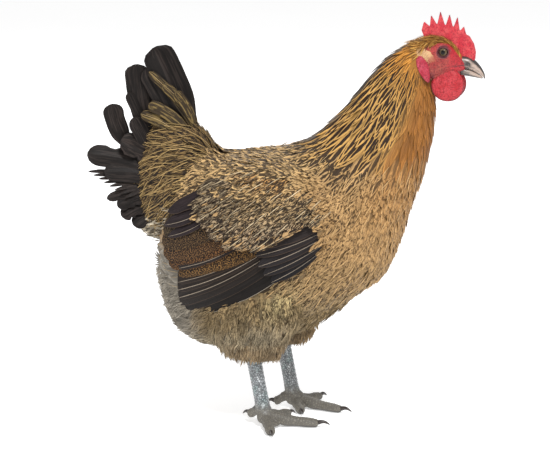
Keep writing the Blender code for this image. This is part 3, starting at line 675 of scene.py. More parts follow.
class Plume(Enum):
    """The kinds of small feather, by their outline."""

    HACKLE = VaneShape(((0, 0.5), (0.3, 0.95), (0.6, 0.9), (0.84, 0.52), (1, 0.08)), 3, 0.03, 0.05, 0.22)
    CONTOUR = VaneShape(((0, 0.35), (0.3, 0.85), (0.62, 1.0), (0.86, 0.8), (1, 0.36)), 5, 0.10, 0.10, 0.16)
    NARROW = VaneShape(((0, 0.4), (0.35, 0.85), (0.65, 0.9), (0.88, 0.6), (1, 0.2)), 5, 0.09, 0.10, 0.18)
    COVERT = VaneShape(
        ((0, 0.35), (0.22, 0.8), (0.48, 0.98), (0.72, 0.96), (0.9, 0.7), (1, 0.3)), 5, 0.06, 0.06, 0.14)
    BRISTLE = VaneShape(((0, 0.5), (0.4, 0.9), (0.75, 0.6), (1, 0.1)), 3, 0.02, 0.02, 0.15)
    DOWN = TuftShape(strands=7, rings=4, strand_width=0.10, spread=0.95)
    WISP = TuftShape(strands=4, rings=5, strand_width=0.12, spread=0.7, loose=0.22)


@dataclass(frozen=True)
class FlightShape:
    """A long stiff feather: an outline with a round tip, its barbs in many rows, split here and there."""

    rows: int = 16
    columns: int = 7
    tip: float = 0.16
    root: float = 0.45
    lean: float = 0.15
    splits: int = 3
    cup: float = 0.05

    def template(self, rng: Generator) -> Template:
        """One long feather, its trailing web wider than its leading one."""
        rows = []
        split_rows = set(rng.choice(np.arange(self.rows // 3, self.rows - 2), self.splits, replace=False))
        split_side = rng.choice((-1, 1))
        for k in range(self.rows):
            t = 1 - (1 - k / (self.rows - 1)) ** 1.25
            swell = self.root + (1 - self.root) * math.sin(math.pi / 2 * min(1.0, t / 0.45))
            rounding = math.sqrt(max(0.0, 1 - max(0.0, (t - 1 + self.tip) / self.tip) ** 2.2))
            wide = swell * max(rounding, 0.16)
            for c in np.linspace(-1, 1, self.columns):
                web = 1 + self.lean * (1 if c > 0 else -1)
                dent = rng.uniform(0.10, 0.28) if k in split_rows and c * split_side > 0.6 else 0.0
                rows.append((
                    t - 0.03 * abs(c) * (1 - t) - 0.02 * dent,
                    c * wide * web * (1 - dent) + rng.uniform(-0.012, 0.012) * abs(c),
                    -self.cup * c * c * wide, 0.0, 0.5 + c / 2 * (-1 if self.lean > 0 else 1), t))
            rows.append((t, 0.0, 0.0, -1.0 + 0.7 * t, 0.5, t))
        return Template.gathered(rows, ring_faces(self.rows, self.columns + 1))


@dataclass
class Looks:
    """Sizes and colouring of a batch of feathers, one value or row for each."""

    length: Array
    width: Array
    root_lift: Array
    tip_lift: Array
    thick: Array
    curl: Array
    roll: Array
    ground: Array
    mark: Array
    bake: Array

    @staticmethod
    def of_one(*values: object) -> "Looks":
        """The looks of one feather, from a value for each field."""
        return Looks(*(np.asarray(value, float)[None] for value in values))


BAKE_PATCH = 0.003


class Coat:
    """The feathers of one piece, gathered batch by batch and made into one mesh."""

    def __init__(self, name: str) -> None:
        """Starts an empty coat with the piece's name."""
        self.name = name
        self.points: list[Array] = []
        self.pattern: list[Array] = []
        self.bake: list[Array] = []
        self.values: dict[str, list[Array]] = {"seed": [], "mark": [], "ground": []}
        self.corners: list[Array] = []
        self.counts: list[Array] = []
        self.total = 0

    def add(
        self, frames: Frames, templates: list[Template], looks: Looks, rng: Generator,
        patch: tuple[float, float] = (BAKE_PATCH, BAKE_PATCH),
    ) -> None:
        """Adds a batch of feathers.

        Args:
            frames: where they run.
            templates: shapes that they take in turn.
            looks: their sizes and colouring.
            rng: draws each feather's seed.
            patch: how wide and long each feather's place is on the unwrap for baking.
        """
        count = len(frames.points)
        which = rng.integers(0, len(templates), count)
        seeds = rng.random(count)
        for number, shape in enumerate(templates):
            chosen = np.flatnonzero(which == number)
            if len(chosen):
                self._lay(frames, shape, looks, chosen, seeds, patch)

    def _lay(
        self, frames: Frames, shape: Template, looks: Looks, chosen: Array, seeds: Array,
        patch: tuple[float, float],
    ) -> None:
        """Lays the chosen feathers of a batch in one shape."""
        stations = frames.points.shape[1]
        place = np.clip(shape.along, 0, 1) * (stations - 1)
        low = np.minimum(place.astype(int), stations - 2)
        share = (place - low)[None, :, None]

        def between(values: Array) -> Array:
            return values[chosen][:, low] * (1 - share) + values[chosen][:, low + 1] * share

        def column(values: Array) -> Array:
            return values[chosen][:, None]

        centre, along, across, out = map(between, (frames.points, frames.along, frames.across, frames.out))
        turn = looks.roll[chosen][:, None, None]
        across, out = across * np.cos(turn) + out * np.sin(turn), out * np.cos(turn) - across * np.sin(turn)
        past = np.maximum(shape.along - 1, 0)[None] * column(looks.length)
        aside = shape.across[None] * column(looks.width) / 2
        t = np.clip(shape.along, 0, 1)[None]
        lift = column(looks.root_lift) + (column(looks.tip_lift) - column(looks.root_lift)) * t**0.8
        lift = lift + column(looks.curl) * t**3
        lift = lift + shape.out[None] * column(looks.width) + shape.thick[None] * column(looks.thick)
        points = centre + along * past[..., None] + across * aside[..., None] + out * lift[..., None]
        size = points.shape[1]
        number = len(chosen)
        self.points.append(points.reshape(-1, 3))
        self.pattern.append(np.tile(shape.pattern, (number, 1)))
        spot = (shape.pattern - 0.5)[None] * np.array(patch)[None, None]
        self.bake.append((looks.bake[chosen][:, None] + spot).reshape(-1, 2))
        self.values["seed"].append(np.repeat(seeds[chosen], size))
        self.values["mark"].append(np.repeat(looks.mark[chosen], size))
        self.values["ground"].append(np.repeat(looks.ground[chosen], size, axis=0))
        flat = np.array([c for face in shape.faces for c in face])
        starts = self.total + np.arange(number)[:, None] * size
        self.corners.append((flat[None] + starts).ravel())
        self.counts.append(np.tile([len(face) for face in shape.faces], number))
        self.total += number * size

    def build(self, material: Material, slot: str, *nodes: str) -> Object:
        """Makes the mesh, with its maps and attributes, and dresses it."""
        points = (np.concatenate(self.points) + np.array(SHIFT)) * MM
        corners, counts = np.concatenate(self.corners), np.concatenate(self.counts)
        mesh = bpy.data.meshes.new(self.name)
        for part, what, values in (
                (mesh.vertices, "co", points.astype(np.float32)),
                (mesh.loops, "vertex_index", corners.astype(np.int32)),
                (mesh.polygons, "loop_start", (np.cumsum(counts) - counts).astype(np.int32))):
            part.add(len(values))
            part.foreach_set(what, values.ravel())
        mesh.polygons.foreach_set("use_smooth", np.ones(len(counts), bool))
        mesh.update(calc_edges=True)
        for name, values in (("Pattern", self.pattern), ("OFBake", self.bake)):
            layer = mesh.uv_layers.new(name=name)
            layer.data.foreach_set("uv", np.concatenate(values)[corners].astype(np.float32).ravel())
        piece = link(self.name, mesh)
        add_attributes(piece, **{name: np.concatenate(values) for name, values in self.values.items()})
        return finish_piece(piece, material, slot, *nodes)


Value = Callable[[Array, Array], Array] | tuple | float


def valued(value: Value, along: Array, down: Array) -> Array:
    """A size at places of a surface: a number, a rule, or places along, sizes and how it falls downwards."""
    if isinstance(value, tuple):
        stations, sizes, fall = (*value, 0.0)[:3]
        return np.interp(along, stations, sizes) * (1 - fall * down)
    made = value(along, down) if callable(value) else value
    return np.broadcast_to(np.asarray(made, float), along.shape).copy()


@dataclass
class Tract:
    """A field of like feathers on one surface."""

    surface: Surface
    along: tuple[float, float]
    turn: tuple[float, float]
    plume: Plume
    spacing: Value
    length: Value
    width: Value
    flow: Flow
    colours: Callable[[Array], tuple[Array, Array]]
    root_lift: float = -1.5
    tip_lift: Value = 1.6
    thick: float = 0.25
    curl: Value = 0.0
    swing: float = 0.12
    roll: float = 0.12
    tries: int = 16000
    keep: Callable[[Array, Array, Array], Array] | None = None
    variants: int = 7
    stretch: float = 1.0

    def lay(self, coat: Coat, rng: Generator) -> int:
        """Scatters the tract's feathers into a coat and says how many there are."""
        along = rng.uniform(*self.along, self.tries)
        turn = rng.uniform(*self.turn, self.tries)
        lengthwise, round_way, _ = self.surface.tangents(along, turn)
        area = np.linalg.norm(np.cross(lengthwise, round_way), axis=1)
        chosen = rng.uniform(0, np.quantile(area, 0.97), self.tries) < area
        along, turn = along[chosen], turn[chosen]
        points = self.surface.at(along, turn)
        if self.keep:
            inside = self.keep(points, along, turn)
            along, turn, points = along[inside], turn[inside], points[inside]
        down = (1 - np.cos(turn)) / 2
        lengthwise, _, normal = self.surface.tangents(along, turn)
        way = unit(np.mean(unit(self.flow(points, unit(lengthwise), normal)), axis=0)[None])
        squeezed = points - way * (points @ way[0])[:, None] * (1 - 1 / self.stretch)
        kept = thin_out(squeezed, valued(self.spacing, along, down))
        along, turn, points, down = along[kept], turn[kept], points[kept], down[kept]
        count = len(along)
        length = valued(self.length, along, down) * rng.uniform(0.82, 1.12, count)
        swing = rng.normal(0, self.swing, count)
        frames = self.surface.walk(along, turn, length, swing, self.flow)
        ground, mark = self.colours(points + frames.along[:, 0] * length[:, None] * 0.6)
        looks = Looks(
            length, valued(self.width, along, down) * rng.uniform(0.85, 1.15, count),
            np.full(count, self.root_lift), valued(self.tip_lift, along, down) * rng.uniform(0.7, 1.3, count),
            np.full(count, self.thick), valued(self.curl, along, down) * rng.uniform(0.3, 1.7, count),
            rng.normal(0, self.roll, count), ground, mark, self.surface.unwrapped(along, turn),
        )
        templates = [self.plume.value.template(rng) for _ in range(self.variants)]
        coat.add(frames, templates, looks, rng)
        return count


# Where the plumage changes its colours

CROWN_FRONT = ((343, 190), (347, 149), (352, 144), (366, 134), (372, 132), (376, 137), (400, 142))
BROW_ARC = (
    (112, 120, 130, 136, 141, 147, 155, 162, 166, 170.5, 175),
    (340, 352, 366, 377, 382, 384.2, 385.6, 384.4, 381, 375.5, 369.5),
)


def mixed(first: Array, second: Array | str, share: Array) -> Array:
    """Colours blended towards a second colour by a share for each."""
    other = np.array(linear(second)) if isinstance(second, str) else second
    return first + (other - first) * share[:, None]


def plumage(points: Array) -> tuple[Array, Array]:
    """The ground colour of the coat and how strong its dark marks are, at points of it."""
    along, down = TRUNK.locate(points)
    x, z = points[:, 0], points[:, 2]
    patchy = noise_at(points, 16, 2)
    front = smooth(down + 0.06 * patchy, 0.56, 0.78)
    neck = 1 - smooth(along + 1.3 * (down - 0.35), 10.4, 11.6)
    colour, hackle = (np.tile(linear(tone), (len(points), 1)) for tone in ("#ad8a5c", "#c08234"))
    for tone, share in (
            ("#ab804e", smooth(along, 14.0, 11.0) * smooth(down, 0.55, 0.85)),
            ("#8f7853", smooth(along, 12.5, 17.0) * smooth(z, 185, 165)),
            ("#c9a672", smooth(down, 0.42, 0.2) * smooth(along, 10.0, 12.0)),
            ("#8a7757", smooth(z + 8 * patchy, 150, 108)),
            ("#94876f", smooth(z - 0.25 * x + 10 * patchy, 122, 98) * smooth(x, 34, -6)),
            ("#bba97d", 0.8 * bell((x - 8, 15), (z - 128 - 0.3 * x, 13))),
            ("#8a6c48", 0.45 * smooth(z, 92, 78) * smooth(x, -60, -40)),
            ("#8d7450", smooth(x, -85, -112) * smooth(z, 175, 215)),
            ("#8c8579", smooth(x, -66, -100) * smooth(z, 200, 165))):
        colour = mixed(colour, tone, share)
    for tone, share in (
            ("#bb9151", smooth(along, 6.2, 8.4)), ("#98632b", front * smooth(along, 12.5, 10.5)),
            ("#625547", smooth(down, 0.035, 0.01) * smooth(along, 3.2, 4.2))):
        hackle = mixed(hackle, tone, share)
    colour = mixed(colour, hackle, neck)
    colour = colour * (1 + 0.16 * noise_at(points, 9, 5) + 0.10 * noise_at(points, 3.5, 7))[:, None]
    mark = 0.95 - 0.35 * smooth(down, 0.55, 0.95) * smooth(along, 16, 13)
    mark = mark * (1 - 0.5 * smooth(z, 125, 95)) * (1 - 0.75 * smooth(x, -62, -88) * smooth(z, 215, 190))
    mark = mark + (np.clip(1.1 - 1.0 * front, 0.28, 1) * smooth(along, 5.6, 7.2) - mark) * neck
    return colour, np.clip(mark, 0, 1)


def tinted(colour: str, spread: float = 0.08, mark: float = 1.0) -> Callable:
    """A rule that gives all feathers one ground colour, a little varied."""

    def rule(points: Array) -> tuple[Array, Array]:
        base = np.tile(linear(colour), (len(points), 1))
        return base * (1 + spread * noise_at(points, 14, 3))[:, None], np.full(len(points), mark)

    return rule


def is_bare(points: Array) -> Array:
    """Which points of the head are bare red skin, in front of the feathers and under the brow."""
    x, z = points[:, 0], points[:, 2]
    edge = np.interp(z, [p[0] for p in CROWN_FRONT], [p[1] for p in CROWN_FRONT])
    return (x + 1.2 * noise_at(points, 6, 1) > edge) & ~is_brow(points)


def is_ear(points: Array) -> Array:
    """Which points carry the cream tuft over the ear."""
    x, z = points[:, 0] - 142, points[:, 2] - 374.6
    return (x / 8.2) ** 2 + ((z + 0.55 * x) / 4.4) ** 2 < 1 + 0.45 * noise_at(points, 3, 9)


def ear_colour(points: Array) -> Array:
    """The ear tuft's cream, fading into the cheek's red downwards and forwards."""
    share = smooth(points[:, 0] - 0.9 * (points[:, 2] - 372) + 2.5 * noise_at(points, 1.4, 15), 141, 152)
    return mixed(np.tile(linear("#caa176"), (len(points), 1)), "#9c5344", share)


def on_breast(points: Array, turn: Array) -> Array:
    """Which points of the trunk carry buff breast feathers, not the back's peppered ones."""
    x, z = points[:, 0], points[:, 2]
    ahead = (x > 40) & (z < 255 + 0.45 * (x - 60) + 5 * noise_at(points, 12, 4))
    return ((1 - np.cos(turn)) / 2 > 0.71) | ahead


def downward(lengthwise: float, drop: float, back: float = 0.0) -> Flow:
    """A lie of the coat mixed from the way lengthwise, down and backwards."""

    def flow(points: Array, way: Array, normal: Array) -> Array:
        return way * lengthwise + np.array((-back, 0.0, -drop))

    return flow


# Finishes

CHOICES = {"Math": "operation", "VectorMath": "operation", "MapRange": "interpolation_type",
           "MixRGB": "blend_type", "Attribute": "attribute_name", "UVMap": "uv_map"}


def connect(node: Node, inputs: dict) -> None:
    """Links sockets to a node's inputs, or sets them to values and hex colours."""
    for key, value in inputs.items():
        if isinstance(value, NodeSocket):
            node.id_data.links.new(value, node.inputs[key])
        else:
            node.inputs[key].default_value = (*linear(value), 1) if isinstance(value, str) else value


def add_node(
    tree: NodeTree, kind: str, *inputs: object, out: int | str = 0, stops: tuple = (), **settings: object,
) -> NodeSocket:
    """Adds a shader node with its settings and links.

    Args:
        tree: the node tree.
        kind: the node's type without its prefix, and its main choice after a space.
        inputs: a value, hex colour or socket for each input in order.
        out: which output to give.
        stops: places and colours of a ramp.
        settings: inputs by their capitalised names, and the node's own properties.

    Returns:
        The output's socket.
    """
    kind, _, choice = kind.partition(" ")
    node = tree.nodes.new("ShaderNode" + kind)
    if choice:
        setattr(node, CHOICES[kind], choice)
    named = dict(enumerate(inputs))
    for key, value in settings.items():
        if key[0].isupper():
            named[key] = value
        else:
            setattr(node, key, value)
    for place, (at, colour) in enumerate(stops):
        if place > 1:
            node.color_ramp.elements.new(at)
        stop = node.color_ramp.elements[place]
        stop.position = at
        stop.color = (*(linear(colour) if isinstance(colour, str) else (colour,) * 3), 1)
    connect(node, named)
    return node.outputs[out]


def start_material(name: str) -> tuple[Material, Callable[..., NodeSocket], Node]:
    """A new material, the way to put nodes into it, and its main shader."""
    made = bpy.data.materials.new(name)
    made.use_nodes = True
    return made, partial(add_node, made.node_tree), made.node_tree.nodes["Principled BSDF"]


@dataclass(frozen=True)
class FeatherFinish:
    """Keratin vane of fine barbs: a matt, faintly silky surface with painted-in marks."""

    name: str
    dark: str = "#2b2119"
    stripe: tuple[tuple[float, float], ...] = ()
    stripe_soft: float = 0.07
    speckle: float = 0.0
    level: float = 0.5
    cells: tuple[float, float] = (4.0, 9.0)
    shaft: str = ""
    shaft_width: float = 0.07
    shaft_share: float = 1.0
    rim: str = ""
    barbs: float = 26.0
    streaks: float = 0.16
    roughness: float = 0.62
    gloss: float = 0.2
    varied: float = 0.16

    def material(self) -> Material:
        """Builds the material."""
        made, put, shader = start_material(self.name)
        place = put("UVMap Pattern")
        u, v = (put("SeparateXYZ", place, out=k) for k in (0, 1))
        seed, mark = (put("Attribute " + name, out="Fac") for name in ("seed", "mark"))
        side = put("Math MULTIPLY", put("Math ABSOLUTE", put("Math SUBTRACT", u, 0.5)), 2.0)
        shifted = put("Math MULTIPLY", seed, 37.0)
        placed = put("VectorMath ADD", place, put("CombineXYZ", shifted, shifted, 0.0))
        dark = mark
        if self.speckle:
            spread = put("VectorMath MULTIPLY", placed, (*self.cells, 1.0))
            grains = put("TexNoise", Vector=spread, Scale=1.0, Detail=2.0, Roughness=0.6)
            dark = put("MapRange SMOOTHSTEP", grains, self.level - 0.025, self.level + 0.025, 0.0,
                       self.speckle)
        if self.stripe:
            rough = put("TexNoise", Vector=placed, Scale=7.0, Detail=2.0)
            ragged = put("Math SUBTRACT", put("Math MULTIPLY_ADD", rough, 0.6, side), 0.3)
            gap = put("Math SUBTRACT", put("ValToRGB", v, stops=self.stripe), ragged)
            stripe = put("MapRange SMOOTHSTEP", gap, -self.stripe_soft, self.stripe_soft)
            dark = put("Math MAXIMUM", stripe, dark) if self.speckle else stripe
        colour = put("MixRGB", put("Math MULTIPLY", dark, mark), put("Attribute ground"), self.dark)
        if self.shaft:
            line = put("MapRange SMOOTHSTEP", side, self.shaft_width, self.shaft_width * 0.5)
            line = put("Math MULTIPLY", line, put("Math LESS_THAN", seed, self.shaft_share))
            colour = put("MixRGB", line, colour, self.shaft)
        if self.rim:
            colour = put("MixRGB", put("MapRange SMOOTHSTEP", u, 0.93, 0.965, 0.0, 0.75), colour, self.rim)
        lines = put("Math MULTIPLY", put("Math MULTIPLY_ADD", side, -0.30, v), TAU * self.barbs)
        lines = put("Math SINE", lines)
        spread = put("VectorMath MULTIPLY", placed, (15.0, 1.7, 1.0))
        hairs = put("TexNoise", Vector=spread, Scale=1.0, Detail=2.0)
        hairs = put("MapRange", hairs, 0.34, 0.66, 1 - self.streaks, 1 + self.streaks)
        light = put("Math MULTIPLY", put("Math MULTIPLY_ADD", lines, 0.05, 1.0), hairs)
        light = put("Math MULTIPLY", light, put("MapRange", seed, 0.0, 1.0, 1 - self.varied, 1 + self.varied))
        light = put("CombineXYZ", light, light, light)
        connect(shader, {
            "Base Color": put("MixRGB MULTIPLY", 1.0, colour, light),
            "Normal": put("Bump", Strength=0.25, Distance=0.0002, Height=lines),
            "Roughness": self.roughness, "Specular IOR Level": self.gloss, "Sheen Weight": 0.04})
        return made


HACKLE = FeatherFinish(
    "pointed_hackle", "#2b1c10", stripe=((0.0, 0.5), (0.45, 0.54), (0.78, 0.45), (0.93, 0.1), (1.0, -0.2)),
    stripe_soft=0.05, roughness=0.5, varied=0.2, streaks=0.3)
BREAST = FeatherFinish(
    "buff_breast_feather", "#33210f", speckle=1.0, level=0.54, cells=(3.9, 4.4), varied=0.14, streaks=0.26)
BODY = FeatherFinish(
    "peppered_body_feather", "#2a1f15", stripe=((0.0, 0.6), (0.5, 0.46), (0.8, 0.36), (0.93, -0.1)),
    speckle=0.95, level=0.495, cells=(4.4, 3.4), shaft="#d9b984", shaft_share=0.3, shaft_width=0.05, varied=0.2,
    streaks=0.24)
MOTTLED = FeatherFinish(
    "laced_tail_covert", "#231a12", speckle=1.0, level=0.468, cells=(6.0, 2.2), shaft="#b79c6c",
    shaft_share=0.3, shaft_width=0.05, varied=0.24, streaks=0.26)
BOW = FeatherFinish(
    "mottled_wing_covert", "#261c14", speckle=1.0, level=0.46, cells=(4.4, 3.0), shaft="#d8c6a2",
    shaft_share=0.3, shaft_width=0.05, varied=0.22, streaks=0.24)
DOWN = FeatherFinish(
    "loose_down", "#33271a", speckle=0.8, level=0.53, cells=(2.6, 3.4), roughness=0.8, barbs=8, varied=0.34,
    streaks=0.3)
SECONDARY = FeatherFinish(
    "vermiculated_secondary", "#1b1410", speckle=1.0, level=0.468, cells=(20.0, 58.0), barbs=70,
    roughness=0.55, gloss=0.1, varied=0.05)
PRIMARY = FeatherFinish(
    "dark_flight_feather", "#120e0c", speckle=0.5, level=0.5, cells=(16.0, 3.0), shaft="#a09280",
    shaft_width=0.04, shaft_share=0.7, rim="#4a3b30", barbs=80, roughness=0.46, gloss=0.1, varied=0.14,
    streaks=0.24)
PALE_PRIMARY = FeatherFinish(
    "pale_edged_primary", "#120e0c", speckle=0.5, level=0.5, cells=(16.0, 3.0), rim="#d0c4b0", barbs=80,
    roughness=0.46, gloss=0.1, streaks=0.24)
TAIL_FINISH = FeatherFinish(
    "dark_tail_feather", "#0d0a09", speckle=0.8, level=0.47, cells=(11.0, 1.8), shaft="#1d1613",
    shaft_width=0.04, barbs=60, roughness=0.42, gloss=0.14, varied=0.2, streaks=0.36)
BRISTLE = FeatherFinish("fine_face_feather", "#5a3d1a", speckle=0.4, barbs=6, roughness=0.6)
COVERLET = FeatherFinish("cream_ear_tuft", "#8d6a48", speckle=0.5, barbs=6, roughness=0.65, varied=0.16)


@dataclass(frozen=True)
class SkinFinish:
    """Skin: in the coat's colours with painted shade under feathers, else red, moist, granular and a little
    translucent.
    """

    name: str
    bare: str = "#9a3534"
    pale: str = "#aa5146"
    deep: str = "#5f1f22"
    grain: float = 1.1
    roughness: float = 0.48
    vivid: str = "#b52c35"

    def material(self) -> Material:
        """Builds the material: small granules with darker gaps."""
        made, put, shader = start_material(self.name)
        place = put("TexCoord", out="Object")
        grains = put("TexVoronoi", Vector=place, Scale=1 / (self.grain * MM), Randomness=0.9)
        broad = put("TexNoise", Vector=place, Scale=1 / (7 * MM), Detail=3.0)
        folds = put("TexNoise", Vector=place, Scale=1 / (1.7 * MM), Detail=2.0)
        blush, feathered, ring = (
            put("Attribute " + name, out="Fac") for name in ("blush", "feathered", "ring"))
        red = put("MixRGB", put("MapRange SMOOTHSTEP", broad, 0.35, 0.65), self.bare, self.pale)
        red = put("MixRGB", blush, red, self.vivid)
        for relief, low, high, share in ((grains, 0.35, 0.75, 0.4), (folds, 0.52, 0.64, 0.65)):
            gaps = put("Math MULTIPLY", put("MapRange SMOOTHSTEP", relief, low, high), share)
            red = put("MixRGB", gaps, red, self.deep)
        # The ring mark gives the eyelids their own dusky colour and paints shade in the face's creases and along
        # the lower rims of wattles and earlobes.
        red = put("MixRGB", ring, red, "#4c2c33")
        # Painted shade: under feathers the skin takes the coat's colours darkened to 0.6, for the shade between
        # feathers.
        coat = put("MixRGB MULTIPLY", 1.0, put("Attribute ground"), (0.6, 0.6, 0.6, 1))
        connect(shader, {
            "Base Color": put("MixRGB", feathered, red, coat),
            "Normal": put("Bump", Strength=0.6, Distance=0.0003, Height=grains, invert=True),
            "Roughness": self.roughness, "Specular IOR Level": 0.3, "Subsurface Weight": 0.12,
            "Subsurface Radius": (0.004, 0.0012, 0.0008), "Subsurface Scale": 0.5})
        return made


SKIN = SkinFinish("hen_skin")
COMB_SKIN = SkinFinish("comb_skin", "#c02d3b", "#cf4c50", "#8e1e2c", 1.0)
WATTLE_SKIN = SkinFinish("wattle_skin", "#b22830", "#c24047", "#7f1821", 1.2)
LOBE_SKIN = SkinFinish("earlobe_skin", "#ae2a3e", "#bd4a5a", "#7a1b2b", 1.0)


@dataclass(frozen=True)
class HornFinish:
    """Bill or claw horn: layered keratin, dark at its ridge and tip and pale at its cutting edge."""

    name: str
    dark: str
    pale: str
    low: float
    high: float
    roughness: float = 0.32

    def material(self) -> Material:
        """Builds the material from the piece's own tone and fine lengthwise streaks."""
        made, put, shader = start_material(self.name)
        streaked = put("VectorMath MULTIPLY", put("TexCoord", out="Object"), (0.35, 1.0, 1.0))
        streaks = put("TexNoise", Vector=streaked, Scale=1 / (1.5 * MM), Detail=3.0)
        tone = put("Attribute tone", out="Fac")
        rough = put("Math MULTIPLY_ADD", put("Math SUBTRACT", streaks, 0.5), 0.7, tone)
        share = put("MapRange SMOOTHSTEP", rough, self.low, self.high)
        connect(shader, {
            "Base Color": put("MixRGB", share, self.dark, self.pale),
            "Normal": put("Bump", Strength=0.2, Distance=0.0002, Height=streaks),
            "Roughness": self.roughness, "Coat Weight": 0.2, "Coat Roughness": 0.25})
        return made


BILL_HORN = HornFinish("bill_horn", "#35302f", "#ae9a8d", 0.2, 0.9)
CLAW_HORN = HornFinish("claw_horn", "#120f0e", "#332b27", 0.3, 1.1)


@dataclass(frozen=True)
class EyeFinish:
    """A wet eye: brown-grey iris with fine rays, a black pupil and a clear glossy front."""

    name: str = "wet_eye"
    iris: str = "#66563f"
    rim: str = "#2c2019"
    pupil: float = 2.0
    iris_radius: float = 3.9

    def material(self) -> Material:
        """Builds the material from how far points lie from the eye's middle."""
        made, put, shader = start_material(self.name)
        rays = put("TexNoise", Vector=put("TexCoord", out="Object"), Scale=1 / (0.8 * MM), Detail=2.0)
        lit = put("MapRange", rays, 0.35, 0.65, 0.75, 1.2)
        lit = put("CombineXYZ", lit, lit, lit)
        inner, outer = self.pupil / 5, self.iris_radius / 5
        ring = put("ValToRGB", put("Math DIVIDE", put("Attribute away", out="Fac"), 5.0), stops=(
            (0.0, "#050405"), (inner - 0.02, "#050405"), (inner + 0.03, "#42341f"),
            ((inner + outer) / 2, self.iris), (outer - 0.06, "#5a4b38"), (outer + 0.02, self.rim)))
        connect(shader, {
            "Base Color": put("MixRGB MULTIPLY", 1.0, ring, lit), "Roughness": 0.4,
            "Specular IOR Level": 0.1, "Coat Weight": 0.35, "Coat Roughness": 0.03})
        return made


@dataclass(frozen=True)
class ScaleFinish:
    """Leg scales: slate keratin plates with dark gaps, a faint green-blue sheen painted in patches, a painted
    highlight down the shank and painted shade low on the toes.
    """

    name: str = "slate_leg_scales"
    plate: str = "#999da0"
    green: str = "#8ba5a3"
    toe: str = "#787369"
    shine: str = "#e4e9ea"
    gap: str = "#26282b"

    def material(self) -> Material:
        """Builds the material from the height of the modelled plates and small net scales."""
        made, put, shader = start_material(self.name)
        place = put("TexCoord", out="Object")
        net = put("TexVoronoi", Vector=place, Scale=1 / (2.3 * MM), feature="DISTANCE_TO_EDGE")
        relief, height, pale = (put("Attribute " + name, out="Fac") for name in ("relief", "height", "pale"))
        broad = put("TexNoise", Vector=place, Scale=1 / (9 * MM), Detail=2.0)
        # Painted sheen: green-blue patches mixed into the slate by noise.
        shank = put("MixRGB", put("MapRange SMOOTHSTEP", broad, 0.45, 0.7, 0.0, 0.6), self.plate, self.green)
        # Painted highlight: the pale mark lightens a band down the shank towards the painted highlight colour.
        colour = put("MixRGB", pale, put("MixRGB", height, self.toe, shank), self.shine)
        depth = put("Math MULTIPLY_ADD", height, 0.35, 0.45)
        gaps = put("Math MULTIPLY", put("MapRange SMOOTHSTEP", net, 0.26, 0.04), depth)
        connect(shader, {
            # The relief mark darkens the seams between plates and, as painted shade, the toes low down near the
            # floor.
            "Base Color": put("MixRGB", put("Math MAXIMUM", gaps, relief), colour, self.gap),
            "Normal": put("Bump", Strength=0.5, Distance=0.0003, Height=net),
            "Roughness": put("MapRange", height, 0.0, 1.0, 0.6, 0.26),
            "Coat Weight": put("Math MULTIPLY", height, 0.6), "Coat Roughness": 0.2})
        return made


# The hen's parts

